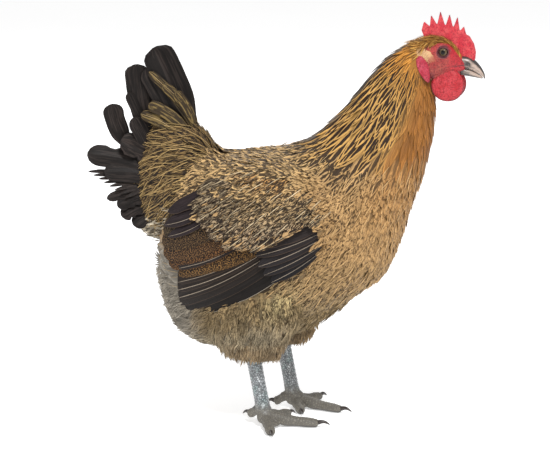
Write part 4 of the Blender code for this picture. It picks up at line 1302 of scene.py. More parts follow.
@dataclass
class Skin:
    """The one skin of head, neck, body, tail base and thighs, bare only on the face."""

    around: int = 150
    head_rows: int = 84
    body_rows: int = 70
    head_end: float = 5.0
    depth: float = 3.2

    def inset(self, along: Array) -> Array:
        """How far the skin lies inside the coat's outer line."""
        return 1.8 * smooth(along, 5.0, 7.0) + (self.depth - 1.8) * smooth(along, 10.0, 13.0)

    def trunk(self) -> Object:
        """The trunk's skin, from the root of the bill to the rump, its rows closer on the head."""
        rows = self.head_rows + self.body_rows
        part = self.head_rows / rows
        return self.loft(
            Sections(TRUNK_ROWS, self.inset), "skin", self.around, rows, 3, lambda v: np.where(
                v < part, v / part * self.head_end,
                self.head_end + (v - part) / (1 - part) * (RUMP_END - self.head_end)))

    @staticmethod
    def loft(
        surface: Surface, name: str, around: int, rows: int, ends: float,
        spread: Callable[[Array], Array] | None = None,
    ) -> Object:
        """A closed loft over a surface, its rows spread along it by a rule."""
        low, high = surface.span

        def place(u: Array, v: Array) -> Array:
            along = spread(v) if spread else low + (high - low) * v
            middle = surface.middle(along, u)
            grown = closing(v, rows / ends, rows / ends)[:, None]
            return middle + (surface.at(along, u * TAU) - middle) * grown

        return wrapped_grid(name, around, rows, place)

    @staticmethod
    def pad(side: Side, outline: tuple, rim: float, middle: float, name: str) -> Object:
        """The flesh of a folded wing inside an outline, deep enough to reach into the trunk."""
        corners = np.array(outline, float)
        count, centre = len(corners), corners.mean(axis=0)
        ring = np.tile(corners, (3, 1))
        surface = WingSurface(side, 0.0)

        def place(u: Array, v: Array) -> Array:
            reach = np.clip(np.minimum(v, 1 - v) / 0.44, 0, 1)
            flat = centre + (spline(ring, count + u * count) - centre) * reach[:, None]
            outer = middle + (rim - middle) * reach**3
            inner = np.full(len(v), -34.0)
            lift = outer + (inner - outer) * smooth(v, 0.44, 0.56)
            points = surface.at(*WingSurface.flat(flat))
            points[:, 1] += side * lift
            return points

        return wrapped_grid(f"{name}_{side.word}", 72, 40, place)

    def bridge(self, side: Side) -> Object:
        """The flesh under the mantle, from the back over the wing's upper edge."""
        surface = Mantle(side, self.depth)

        def place(u: Array, v: Array) -> Array:
            across = np.where(u < 0.5, u * 2, 2 - u * 2)
            deep = np.sin(math.pi * np.clip((u - 0.5) * 2, 0, 1)) ** 0.5 * 16
            points = surface.at(0.02 + 0.96 * v, -0.12 + 1.2 * across)
            inner = np.array((0, -side * 0.8, -0.6))
            points = points + inner * deep[:, None]
            middle = surface.at(0.02 + 0.96 * v, np.full(len(v), 0.5)) + inner * 8
            return middle + (points - middle) * closing(v, 20, 20)[:, None]

        return wrapped_grid(f"bridge_{side.word}", 48, 60, place)

    @staticmethod
    def lid_ring(side: Side) -> Object:
        """The puffy rim of the eyelids, a closed ring a little longer than high."""

        def place(u: Array, v: Array) -> Array:
            around, across = v * TAU, u * TAU
            reach = 5.35 + 0.25 * np.cos(2 * around) + 1.25 * np.cos(across) + 0.10 * np.cos(9 * around)
            x = EYE.x + reach * np.cos(around)
            z = EYE.z + reach * np.sin(around) * 0.94
            y = EYE.y + 1.7 + 1.5 * np.sin(across) - 0.35 * np.maximum(0, np.cos(across)) * 2
            return stacked(x, side * y, z)

        return wrapped_grid(f"lid_{side.word}", 18, 64, place)

    def shape_face(self, piece: Object) -> None:
        """Sinks the eye sockets and raises the face's folds, and lays the feathered part smooth."""
        points = get_points(piece)
        head = points[:, 0] > 118
        near = points[head]
        x, y, z = near.T
        distance = np.hypot(x - EYE.x, z - EYE.z)
        sink = -5.5 * smooth(distance, 5.4, 4.2)
        mound = 1.0 * bell((distance - 6.8, 2.2))
        rings = 0.16 * np.cos(distance * TAU / 1.5) * smooth(distance, 5.6, 6.4) * smooth(distance, 12, 8)
        cheek = 1.3 * bell((x - 155, 9), (z - 362, 6))
        crease = -0.8 * bell((z - 363 - 0.12 * (x - 170), 1.0)) * smooth(x, 160, 168)
        wrinkle = 0.34 * noise_at(near * (1, 1, 1.6), 2.4, 4) + 0.22 * noise_at(near, 1.2, 6)
        folds = (mound + rings + cheek + crease + wrinkle) * is_bare(near) * (distance > 5.2)
        points[head, 1] += np.sign(y) * smooth(np.abs(y), 4, 9) * (sink + folds)
        set_points(piece, points)

    def colour(self, piece: Object) -> None:
        """Stores where feathers grow, the ground colour under them, and one dark mark for the dark ring round
        each eye with painted shade in the gape's crease and in the crease before each earlobe.
        """
        points = get_points(piece)
        x, y, z = points.T
        ground, _ = plumage(points)
        ear = is_ear(points) & (np.abs(y) > 9)
        eyelid = smooth(np.hypot(x - EYE.x, z - EYE.z), 7.2, 5.4) * smooth(np.abs(y), 8, 11) * (x > 140)
        # Painted shade along the modelled crease of the gape.
        gape_crease_shade = bell((z - 363 - 0.12 * (x - 170), 0.55)) * smooth(x, 163, 170)
        # Painted shade in the crease between the earlobe's lower front and the face.
        nape = bell((x - 147, 2.2), (z - 351, 5))
        ahead = smooth(x, 158, 168) * smooth(z, 352, 360)
        above = smooth(z, 372, 378) * smooth(x, 140, 146)
        add_attributes(
            # The ear's cream is divided by 0.6 so that the painted shade under feathers leaves it at full
            # strength.
            piece, ground=np.where(ear[:, None], ear_colour(points) / 0.6, ground),
            feathered=np.where(ear, 1.0, 1.0 - is_bare(points)),
            blush=np.clip(0.9 * ahead + 0.5 * above, 0, 1),
            ring=np.maximum(0.9 * eyelid, np.maximum(0.8 * gape_crease_shade, 0.6 * nape)))

    def build(self) -> Object:
        """Makes the whole skin."""
        skin = self.trunk()
        parts = [self.loft(Sections(TAIL_ROWS, self.depth), "tail_base", 60, 30, 2)]
        parts += [
            self.loft(ThighSurface(side, self.depth), f"thigh_skin_{side.word}", 48, 30, 2) for side in Side]
        for side in Side:
            parts += [self.bridge(side)] + [self.pad(side, *each) for each in WING_PADS]
        parts += [self.lid_ring(side) for side in Side]
        self.shape_face(skin)
        unite(skin, parts)
        self.colour(skin)
        shade(skin, 70)
        return finish_piece(
            skin, SKIN.material(), "red_skin", "torso", "neck", "head", "tail_coverts",
            *(f"thigh_{side.word}" for side in Side))


def wing_free(points: Array) -> Array:
    """Which points of the trunk no wing covers."""
    hidden = np.zeros(len(points), bool)
    x, z = points[:, 0], points[:, 2]
    for outline in (BOW_OUTLINE, SECONDARY_FIELD, PRIMARY_FIELD):
        middle = np.mean(outline, axis=0)
        inner = middle + (np.array(outline) - middle) * 0.88
        hidden |= inside_outline(x, z, tuple(map(tuple, inner)))
    return ~(hidden & (np.abs(points[:, 1]) > 30))


def inside_outline(x: Array, z: Array, outline: tuple[tuple[float, float], ...]) -> Array:
    """Which side-view places lie inside a closed outline."""
    inside = np.zeros(len(x), bool)
    for (ax, az), (bx, bz) in zip(outline, outline[1:] + outline[:1]):
        crosses = (az > z) != (bz > z)
        at = ax + (z - az) * (bx - ax) / (bz - az if bz != az else 1e-9)
        inside ^= crosses & (x < at)
    return inside


BOW_OUTLINE = (
    (60, 228), (47, 243), (22, 257), (-8, 263), (-38, 262), (-60, 250), (-68, 234),
    (-60, 219), (-45, 206), (-30, 199), (-8, 198), (8, 207), (24, 215), (42, 219), (54, 221),
)
WING_PADS = (
    (BOW_OUTLINE, -3.4, -0.4, "bow_pad"),
    (((-42, 240), (-69, 236), (-82, 224), (-80, 206), (-66, 192), (-42, 182), (-12, 178), (0, 196)),
     -6.5, -5.0, "secondary_pad"),
    (((-8, 187), (-10, 172), (2, 160), (22, 154), (34, 162), (32, 180), (16, 188)), -10.0, -8.5,
     "primary_pad"),
    (((28, 198), (32, 180), (38, 178), (43, 184), (46, 193), (44, 202), (38, 206)), -8.5, -7.0, "alula_pad"),
)
SECONDARY_FIELD = ((-40, 244), (-70, 240), (-96, 226), (-106, 205), (-104, 172), (-60, 160), (-10, 185))
PRIMARY_FIELD = (
    (0, 195), (-92, 178), (-96, 142), (-90, 120), (-64, 120), (-19, 139), (18, 155), (36, 176), (40, 198))


def rearward(points: Array, way: Array, normal: Array) -> Array:
    """A lie of the coat towards the tail, and the more downwards the steeper the place."""
    drop = 0.15 + 0.5 * (1 - np.abs(normal[:, 2]))
    return stacked(-1.0, 0.0, -drop)


@dataclass
class BodyCoat:
    """All small feathers of the head, neck, body, tail base and thighs, in several meshes."""

    seed: int = 11

    def hackle(self) -> list[Tract]:
        """The golden neck hackle, short at the nape and long over the shoulders."""
        at = (4, 6, 8, 10, 12)
        return [
            Tract(
                TRUNK, along, (0, TAU), Plume.HACKLE, spacing=(at, (1.8, 2.8, 4.7, 6.2, 6.8), 0.3),
                length=(at, (9, 20, 36, 46, 44), 0.3), width=(at, (2.1, 3.9, 7.2, 9.6, 10.4), 0.35),
                flow=downward(1.0, 0.12), colours=plumage, root_lift=-1.9,
                tip_lift=((4, 8, 12), (0.6, 1.2, 2.2)),
                tries=18000, thick=0.2, swing=0.07, stretch=2.1,
                keep=lambda p, s, t: ~is_bare(p) & (s < 11.3 - 1.2 * (1 - np.cos(t)) / 2))
            for along in ((4.2, 8.2), (7.8, 11.9))]

    def breast(self) -> list[Tract]:
        """The rounded buff feathers of breast and flanks, with loose shafts among them."""
        at = (10, 13, 19)
        return [
            Tract(
                TRUNK, (9.6, 19.5), (0.18 * TAU, 0.82 * TAU), Plume.CONTOUR, spacing=(at, (3.4, 4.0, 4.8)),
                length=(at, (15, 18, 20)), width=(at, (5.5, 6.8, 9)), flow=downward(1.0, 0.25, 0.1),
                colours=plumage, root_lift=-3.2, tries=26000, swing=0.14, roll=0.14, curl=-0.8,
                keep=lambda p, s, t: (wing_free(p) & on_breast(p, t) & (s > 10.0 - 0.4 * np.cos(t))
                                      & (p[:, 2] > 112 + 0.25 * np.abs(p[:, 0] - 40)))),
            Tract(
                TRUNK, (10.4, 18.0), (0.2 * TAU, 0.8 * TAU), Plume.BRISTLE, spacing=8.5, length=15, width=0.8,
                flow=downward(1.0, 0.35, 0.1), colours=tinted("#c8a370", 0.2, 0.0), root_lift=1.2,
                tip_lift=2.4, tries=9000, swing=0.22,
                keep=lambda p, s, t: wing_free(p) & on_breast(p, t) & (p[:, 2] > 130)),
            *(Tract(
                Mantle(side), (0.0, 0.42), (-0.3, 0.9), Plume.CONTOUR, spacing=3.8, length=18, width=6.5,
                flow=rearward, colours=plumage, root_lift=-2.4, tip_lift=2.6, tries=6000, swing=0.16,
                roll=0.16,
                keep=lambda p, s, t: t < 0.25 + 3 * s) for side in Side)]

    def back(self) -> list[Tract]:
        """The darker peppered feathers of back, shoulders and upper flanks."""
        at = (11, 14, 21)
        return [
            Tract(
                TRUNK, (10.6, 21.2), (-0.33 * TAU, 0.33 * TAU), Plume.CONTOUR, spacing=(at, (4.4, 4.8, 4.8)),
                length=(at, (20, 20, 22)), width=(at, (8, 8.5, 9)), flow=downward(1.0, 0.3), colours=plumage,
                root_lift=-3.2, tip_lift=1.4, tries=20000, swing=0.15, roll=0.18,
                keep=lambda p, s, t: wing_free(p) & ~on_breast(p, t)),
            *(Tract(
                Mantle(side), (0.4, 1.0), (-0.3, 1.25), Plume.CONTOUR, spacing=4.4, length=21, width=8.5,
                flow=rearward, colours=plumage, root_lift=-2.6, tip_lift=2.2, tries=6000, swing=0.16,
                roll=0.16)
              for side in Side)]

    def belly(self) -> list[Tract]:
        """The loose down of belly and vent."""
        return [Tract(
            TRUNK, (12.5, 21.8), (0.30 * TAU, 0.70 * TAU), Plume.DOWN, spacing=5.4,
            length=((13, 17, 21), (17, 21, 22)), width=11, flow=downward(0.7, 0.7), colours=plumage,
            root_lift=-3.2, tip_lift=2.4, tries=14000, swing=0.3, roll=0.3, thick=0.1,
            keep=lambda p, s, t: wing_free(p) & (p[:, 2] < 122 + 0.25 * np.abs(p[:, 0] - 40)))]

    def thighs(self) -> list[Tract]:
        """The downy thighs, which hide the hocks."""
        return [
            Tract(
                ThighSurface(side), (0.3, 4.1), (0, TAU), Plume.DOWN, spacing=5.0,
                length=((0, 3, 5), (19, 15, 8)), width=10, flow=downward(0.2, 1.0, 0.1), colours=plumage,
                root_lift=-3.2, tip_lift=2.0, tries=6000, swing=0.25, roll=0.3, thick=0.1,
                keep=lambda p, s, t: (wing_free(p) & (p[:, 2] < 142)) | (p[:, 2] < 129))
            for side in Side]

    def tail_coverts(self) -> list[Tract]:
        """The mottled feathers over the tail's base, fanning out from the rump."""

        def fanned(points: Array, way: Array, normal: Array) -> Array:
            rise = np.interp(points[:, 2], (195, 235, 270, 295, 312), (-1.1, -0.65, -0.15, 0.25, 0.9))
            return unit(stacked(-1.0, 0.0, rise))

        return [
            Tract(
                TAIL_BASE, (0.2, 4.9), (-0.46 * TAU, 0.46 * TAU), Plume.COVERT, spacing=4.4,
                length=((0, 2, 5), (24, 28, 27)), width=8.0, flow=fanned, colours=tinted("#7d643d", 0.3),
                root_lift=-3.0, tip_lift=2.0, tries=18000, swing=0.2, roll=0.18,
                keep=lambda p, s, t: p[:, 2] > 196),
            Tract(
                TAIL_BASE, (0.2, 4.6), (-0.46 * TAU, 0.46 * TAU), Plume.BRISTLE, spacing=6.0, length=24,
                width=0.8, flow=fanned, colours=tinted("#a98d5c", 0.3, 0.0), root_lift=1.6, tip_lift=3.4,
                tries=9000, swing=0.3, roll=0.1, keep=lambda p, s, t: p[:, 2] > 200)]

    def under_tail(self) -> list[Tract]:
        """The pale wisps under the tail."""
        return [Tract(
            TAIL_BASE, (0.2, 4.8), (0.28 * TAU, 0.72 * TAU), Plume.WISP, spacing=5.0, length=32, width=13,
            flow=lambda points, way, normal: unit(points - np.array((-50.0, 0.0, 250.0))),
            colours=tinted("#b3a893", 0.2), root_lift=-3.0, tip_lift=3.0, tries=8000, swing=0.3, roll=0.3,
            thick=0.1, keep=lambda p, s, t: p[:, 2] < 212)]

    def face(self) -> list[Tract]:
        """The fine bristle feathers of crown, brow and cheek's edge."""

        def round_eye(points: Array, way: Array, normal: Array) -> Array:
            rel = points - np.array(EYE)
            turned = stacked(-rel[:, 2], 0.0, rel[:, 0])
            share = smooth(points[:, 0], 128, 142)[:, None]
            return unit(turned) * share + way * (1 - share)

        return [
            Tract(
                TRUNK, (1.0, 5.4), (0, TAU), Plume.BRISTLE, spacing=spacing, length=length, width=width,
                flow=round_eye, colours=tinted(tone, 0.3, 0.6), root_lift=root,
                tip_lift=lambda s, d: 0.8 + 1.8 * smooth(d, 0.25, 0.06), tries=26000, roll=0.2, thick=0.1,
                stretch=stretch, keep=lambda p, s, t: is_brow(p) & ~is_ear(p))
            for tone, spacing, length, width, root, stretch in (
                ("#a87636", 1.1, 5.6, 0.8, -0.2, 1.0), ("#5e3d1c", 2.4, 8.5, 1.1, 0.3, 2.2),
                ("#cf9f50", 2.2, 8.5, 1.1, 0.3, 2.2))]

    def ears(self) -> list[Tract]:
        """The cream tuft over each ear."""
        return [Tract(
            TRUNK, (2.0, 6.0), (0, TAU), Plume.BRISTLE, spacing=0.7, length=5.0, width=0.9,
            flow=downward(1.0, 0.5), colours=lambda points: (ear_colour(points), np.full(len(points), 0.3)),
            root_lift=-0.2, tip_lift=0.4, tries=36000, roll=0.15, thick=0.1,
            keep=lambda p, s, t: is_ear(p))]

    def build(self) -> None:
        """Makes and dresses every coat of the body."""
        made = {}
        for k, (name, tracts, finish, slot, *nodes) in enumerate((
                ("hackle", self.hackle(), HACKLE, "hackle", "neck"),
                ("breast_feathers", self.breast(), BREAST, "body_plumage", "torso"),
                ("back_feathers", self.back(), BODY, "mottled_plumage", "torso"),
                ("belly_down", self.belly(), DOWN, "fluff", "torso"),
                ("thigh_down", self.thighs(), DOWN, "fluff", "thigh_right", "thigh_left"),
                ("tail_covert_feathers", self.tail_coverts(), MOTTLED, "mottled_plumage", "tail_coverts"),
                ("vent_down", self.under_tail(), DOWN, "fluff", "tail_coverts"),
                ("crown_feathers", self.face(), BRISTLE, "hackle", "head"),
                ("ear_tufts", self.ears(), COVERLET, "hackle", "head"))):
            coat, rng = Coat(name), np.random.default_rng(self.seed + k)
            for tract in tracts:
                tract.lay(coat, rng)
            if finish.name not in made:
                made[finish.name] = finish.material()
            shade(coat.build(made[finish.name], slot, *nodes), 50)


def is_brow(points: Array) -> Array:
    """Which points carry the crown's and the brow's fine feathers."""
    x, z = points[:, 0], points[:, 2]
    low = np.interp(x, BROW_ARC[0], BROW_ARC[1])
    return (z > low) & (x < 174.5) & (x > 112)


# Wings

# Each feather of a tier by its root (x, z), its tip (x, z) and its width, from the top down.
TERTIALS = np.array(((-62, 243, -107, 217, 18), (-58, 231, -110, 204, 16), (-56, 222, -105, 194, 12)), float)
SECONDARIES = np.array((
    (-50, 226, -113, 201, 26), (-42, 215, -114, 188, 26), (-36, 206, -112, 176, 25),
    (-26, 199, -106, 166, 22),
), float)
SECONDARY_COVERT = np.array(((-24, 195, -94, 163, 13),), float)
INNER_PRIMARY = np.array(((-2, 188, -95, 155, 15),), float)
PRIMARIES = np.array((
    (-6, 190, -97, 147, 16), (0, 188, -98, 138, 17), (4, 185, -98, 129, 17), (6, 180, -98, 121, 17),
    (10, 174, -92, 116, 18), (18, 164, -70, 115, 15),
), float)
PRIMARY_COVERTS = np.array((
    (48, 211, -9, 192, 15), (51, 206, -12, 182, 15), (52, 200, -10, 171, 15), (51, 192, -5, 162, 15),
    (46, 182, 2, 154, 14),
), float)
COVERT_TIPS = np.array(
    ((-70, 226), (-64, 212), (-52, 199), (-38, 190), (-14, 187), (4, 196), (20, 206)), float)


@dataclass
class Wing:
    """One folded wing: flight feathers in their tiers, greater coverts and the bow."""

    side: Side
    seed: int = 40

    def stroke(self, feathers: Array, lift: Array, bow: float, stations: int = 13) -> Frames:
        """Frames of feathers that run between two side-view places of the wing."""
        surface = WingSurface(self.side, 0.0)
        share = np.linspace(0, 1, stations)[None, :, None]
        start, end = feathers[:, None, 0:2], feathers[:, None, 2:4]
        axis = feathers[:, 2:4] - feathers[:, 0:2]
        lower = stacked(-axis[:, 1], axis[:, 0])
        lower = lower / np.linalg.norm(lower, axis=1, keepdims=True)
        lower = np.where(lower[:, 1:] > 0, -lower, lower)
        sag = bow * np.linalg.norm(axis, axis=1)[:, None, None] * np.sin(math.pi * share)
        flat = start + (end - start) * share + lower[:, None] * sag
        shape = flat.shape[:2]
        along, across = WingSurface.flat(flat.reshape(-1, 2))
        placed = surface.at(along, across).reshape(*shape, 3)
        normal = surface.tangents(along, across)[2].reshape(*shape, 3)
        way = unit(np.gradient(placed, axis=1))
        normal = unit(normal - way * dot(normal, way))
        return Frames(placed + normal * lift, way, np.cross(normal, way), normal)

    def group(
        self, name: str, feathers: Array, lift: float, shape: FlightShape, colour: str, mark: float,
        finish: Material, slot: str, node: str, bow: float = 0.06, shingle: float = 2.3,
        step: float = 0.5, low_colour: str = "",
    ) -> None:
        """One row of long feathers, each with its lower edge over the next."""
        rng = np.random.default_rng(self.seed)
        count = len(feathers)
        coat = Coat(f"{name}_{self.side.word}")
        frames = self.stroke(feathers, lift - step * np.arange(count)[:, None, None], bow)
        for k, width in enumerate(feathers[:, 4]):
            one = slice(k, k + 1)
            own = Frames(frames.points[one], frames.along[one], frames.across[one], frames.out[one])
            length = np.linalg.norm(feathers[k, 2:4] - feathers[k, 0:2])
            down = np.full(1, k / max(count - 1, 1))
            ground = mixed(np.array([linear(colour)]), low_colour or colour, down)
            looks = Looks.of_one(
                length, width * rng.uniform(0.95, 1.05), -0.6, shingle / 2, 0.5, 0.0,
                -self.side * np.arctan(shingle / width), ground[0] * rng.uniform(0.9, 1.12), mark,
                ((k + 0.5) / count, 0.5))
            coat.add(own, [shape.template(rng)], looks, rng, (0.9 / count, 0.9))
        shade(coat.build(finish, slot, f"wing_{node}_{self.side.word}"), 50)

    def bow(self, finish: Material) -> None:
        """The small mottled coverts over the bow of the wing."""
        rng = np.random.default_rng(self.seed + 3)
        coat = Coat(f"bow_feathers_{self.side.word}")
        along, across = WingSurface.flat(np.array(BOW_OUTLINE))

        def slanting(points: Array, way: Array, normal: Array) -> Array:
            drop = 0.1 + 1.2 * smooth(points[:, 2] - 0.12 * points[:, 0], 266, 218)
            return way - stacked(0.0, 0.0, drop)

        def shades(points: Array) -> tuple[Array, Array]:
            patchy = noise_at(points, 12, 6)
            colour = np.tile(linear("#ab8f66"), (len(points), 1))
            colour = mixed(colour, "#8f7c60", smooth(points[:, 0], -15, -50))
            colour = mixed(colour, "#b0844d", smooth(points[:, 2], 235, 255) * smooth(points[:, 0], -50, -10))
            colour = mixed(colour, "#a08a6e", smooth(points[:, 2] + 10 * patchy, 222, 204) * 0.8)
            return colour * (1 + 0.16 * noise_at(points, 6, 3))[:, None], 0.95 + 0.05 * patchy

        pale = tinted("#c9b592", 0.3, 0.0)
        layers = (
            (Plume.CONTOUR, shades, 4.0, 18, 7.6, 2.4, 12000), (Plume.NARROW, shades, 8.0, 22, 5.2, 3.4, 6000),
            (Plume.BRISTLE, pale, 13.5, 18, 0.8, 4.0, 5000),
        )
        for plume, colours, spacing, length, width, lift, tries in layers:
            Tract(
                WingSurface(self.side, 0.0), (along.min() - 8, along.max()), (across.min() - 4, across.max()),
                plume, spacing=spacing, length=length, width=width, curl=0.0,
                flow=slanting, colours=colours, root_lift=-1.6 if lift < 4 else 2.0, tip_lift=lift,
                tries=tries,
                swing=0.16, roll=0.16,
                keep=lambda p, s, t: inside_outline(p[:, 0], p[:, 2], BOW_OUTLINE),
            ).lay(coat, rng)
        shade(coat.build(finish, "mottled_plumage", f"wing_bow_{self.side.word}"), 50)

    def build(self, finishes: dict[str, Material]) -> None:
        """Makes the wing's tiers from the innermost out."""
        lean = self.side
        long = FlightShape(lean=0.6 * lean, tip=0.10, cup=0.01, splits=1)
        broad = FlightShape(lean=0.3 * lean, tip=0.16, columns=9, cup=0.02, splits=1)
        short = FlightShape(rows=10, lean=0.4 * lean, tip=0.4, splits=1, cup=0.03)
        tips = spline(COVERT_TIPS, np.linspace(0, 6, 15))
        ahead = np.array((math.cos(WING_TILT + 0.2), math.sin(WING_TILT + 0.2))) * 30
        coverts = np.concatenate([tips + ahead, tips, np.full((len(tips), 1), 11.0)], axis=1)
        dark, barred, mottled = "dark_feather", "barred_feather", "mottled_plumage"
        for name, rows, lift, shape, colour, low, mark, finish, slot, node, bow, shingle, step in (
                ("primaries", PRIMARIES[:-1], -5.0, long, "#2c231e", "#1c1816", 0.8, "primary", dark,
                 "primaries", 0.035, 2.3, 0.5),
                ("lowest_primary", PRIMARIES[-1:], -7.5, long, "#1c1816", "", 0.8, "edged", dark,
                 "primaries", 0.035, 2.3, 0.5),
                ("inner_primary", INNER_PRIMARY, -4.2, long, "#7a5a33", "", 1.0, "secondary", barred,
                 "primaries", 0.03, 2.3, 0.5),
                ("secondary_gap", SECONDARY_COVERT, -3.6, long, "#2a2321", "", 0.8, "primary", dark,
                 "secondaries", 0.04, 2.3, 0.5),
                ("secondaries", SECONDARIES, -2.2, broad, "#5c4c35", "#74502f", 1.0, "secondary", barred,
                 "secondaries", 0.06, 1.0, 0.4),
                ("tertials", TERTIALS, -0.4, short, "#282022", "", 0.8, "primary", dark,
                 "secondaries", 0.06, 2.3, 0.5),
                ("alula", PRIMARY_COVERTS, -2.6, short, "#2b2524", "#1f1e21", 0.8, "primary", dark,
                 "alula", 0.03, 2.3, 0.5),
                ("greater_coverts", coverts, 1.0, short, "#a2835a", "", 1.0, "bow", mottled,
                 "bow", 0.06, 2.3, 0.0)):
            self.group(name, rows, lift, shape, colour, mark, finishes[finish], slot, node, bow, shingle, step,
                       low)
        self.bow(finishes["bow"])


# Tail

# Each tail feather by its root (x, z), its tip (x, z), how far out the tip stands, its width, tone and bend.
# The tone is the feather's own shade, and some of the lighter tones are painted sheen.
RECTRICES = np.array((
    (-98, 292, -132, 374, 7, 33, 0.9, 0.03), (-106, 290, -139, 354, 9, 24, 1.0, 0.02),
    (-138, 286, -150, 357, 12, 24, 0.75, -0.03), (-138, 284, -157, 329, 15, 11, 0.7, 0),
    (-132, 262, -152, 304, 17, 16, 1.1, 0.0), (-161, 276, -174.5, 317, 17, 20, 0.85, -0.05),
    (-130, 262, -164, 281, 20, 23, 1.1, 0.04), (-134, 254, -198, 267, 24, 22, 0.85, 0.03),
    (-128, 244, -180, 250, 26, 20, 0.75, 0.03), (-126, 234, -177, 223, 28, 11, 1.1, 0.03),
    (-126, 228, -166, 216, 29, 16, 0.9, 0.05), (-126, 220, -162, 206, 29, 17, 0.95, 0.05),
    (-122, 212, -150, 197, 28, 17, 1.0, 0.05),
), float)
# Tan coverts that stand up over the foot of the tallest feathers, in the same terms.
LONG_COVERTS = np.array((
    (-92, 296, -136, 350, 14, 9, 1.0, 0.06), (-90, 298, -122, 338, 15, 10, 1.1, 0.08),
    (-90, 300, -109, 331, 16, 10, 1.0, 0.06), (-98, 294, -136, 318, 16, 12, 0.95, 0.06),
    (-106, 290, -144, 308, 17, 12, 1.0, 0.06),
), float)
# The feather at the lower rear whose barbs have parted into a comb of teeth.
PARTED_ROOTS, PARTED_TIPS = ((-166, 248), (-142, 232)), ((-196, 250), (-158, 225))
TEETH = 8


@dataclass
class TailFan:
    """The two-sided fan of dark tail feathers, folded like a roof."""

    tilt: float = math.radians(20)
    fold: float = 0.3
    seed: int = 70

    def frames(self, feather: Array, order: float, side: Side) -> Frames:
        """Frames along one feather of the fan."""
        share = np.linspace(0, 1, 13)[:, None]
        root, tip = feather[:2], feather[2:4]
        axis = (tip - root) / np.linalg.norm(tip - root)
        bend = feather[7] * np.linalg.norm(tip - root) * np.sin(math.pi * share)
        flat = root + (tip - root) * share + np.array((axis[1], -axis[0])) * bend
        lower = np.array((-axis[1], 0, axis[0]))
        outward = np.array((0, side, 0))
        root_y = 6.2 + order
        y = side * (root_y + (feather[4] - root_y) * share**1.3)
        if side is Side.LEFT:
            flat = flat - self.fold * feather[4]
        points = stacked(flat[:, 0], y[:, 0], flat[:, 1])
        way = unit(np.gradient(points, axis=0))
        out = outward * math.cos(self.tilt) - lower * math.sin(self.tilt)
        out = unit(out - way * dot(np.broadcast_to(out, way.shape), way))
        return Frames(points[None], way[None], np.cross(out, way)[None], out[None])

    def rows(self) -> list[Array]:
        """The feathers of one side, and the teeth of the parted one."""
        share = np.linspace(0, 1, TEETH)[:, None]
        roots, tips = (
            np.array(a) + (np.array(b) - np.array(a)) * share for a, b in (PARTED_ROOTS, PARTED_TIPS))
        rest = np.tile((28.0, 4.6, 1.6, 0.03), (TEETH, 1))
        return list(RECTRICES) + list(np.concatenate([roots, tips, rest], axis=1))

    def plumes(
        self, name: str, rows: list[Array], ground: str, first: float, finish: Material,
        slot: str, node: str,
    ) -> None:
        """Makes one mesh of long feathers on both sides, the first row innermost."""
        rng = np.random.default_rng(self.seed)
        coat = Coat(name)
        for side in Side:
            for k, feather in enumerate(rows):
                frames = self.frames(feather, first + min(k, len(RECTRICES)) * 0.9, side)
                length = np.linalg.norm(frames.points[0, -1] - frames.points[0, 0])
                # The tone scales the ground colour; on some of the fan's feathers it is lightened as painted
                # sheen.
                looks = Looks.of_one(
                    length, feather[5], 0.0, 0.0, 0.6, 0.0, 0.0, np.array(linear(ground)) * feather[6], 0.9,
                    ((len(coat.points) + 0.5) / (2 * len(rows)), 0.5))
                tooth = k >= len(RECTRICES)
                shape = FlightShape(rows=8, columns=3, tip=0.7, root=0.7, splits=0) if tooth else FlightShape(
                    tip=0.13 if k < 4 else 0.2, lean=0.0, root=0.42, columns=9, splits=0 if k < 6 else 3)
                coat.add(frames, [shape.template(rng)], looks, rng, (0.45 / len(rows), 0.9))
        shade(coat.build(finish, slot, node), 50)

    def build(self, dark: Material, mottled: Material) -> None:
        """Makes the fan and the tan coverts at its foot."""
        self.plumes("tail_fan", self.rows(), "#2d2623", 0.0, dark, "dark_feather", "tail")
        self.plumes("long_tail_coverts", list(LONG_COVERTS), "#725f38", 6.0, mottled, "mottled_plumage",
                    "tail_coverts")


# Comb, wattles, earlobes, bill and eyes

COMB_OUTLINE = (
    (144, 384), (137.4, 390), (134.8, 396.6), (137, 404.8), (142.8, 400), (143.8, 411.4), (149.8, 401.6),
    (152.8, 415.4), (157.8, 400.2), (161.8, 412.8), (165.4, 398.6), (169.6, 410.4), (171.8, 396.2),
    (175.9, 400.8), (178.2, 393), (181.5, 391.6), (186, 384), (188, 376), (187.4, 369), (183, 366),
    (176, 369),
    (168, 378), (158, 386),
)
COMB_TIPS = ((133, 143, 153, 162, 170, 177, 190), (404, 409, 412, 410, 407.5, 399, 392))
UPPER_BILL = np.array((
    (173, 373, 362.2, 7.6), (181, 372, 360.2, 7.0), (187, 368.5, 357.8, 5.7), (192, 363.5, 355, 4.2),
    (195.6, 358, 352, 2.6), (197.4, 353.6, 349.6, 1.2),
), float)
LOWER_BILL = np.array((
    (173, 361.6, 353.8, 6.8), (181, 359.6, 352.6, 6), (187, 357.2, 351.6, 4.6), (192, 354.3, 350.8, 3),
    (195, 351.8, 350.4, 1.3),
), float)
WATTLE, WATTLE_SIZE = np.array((162, 9, 344.5)), np.array((16.0, 2.7, 16.2))
EARLOBE, EARLOBE_SIZE = np.array((139.6, 15.8, 360)), np.array((5.6, 3.0, 13.8))
EARLOBE_LEAN = math.radians(21)


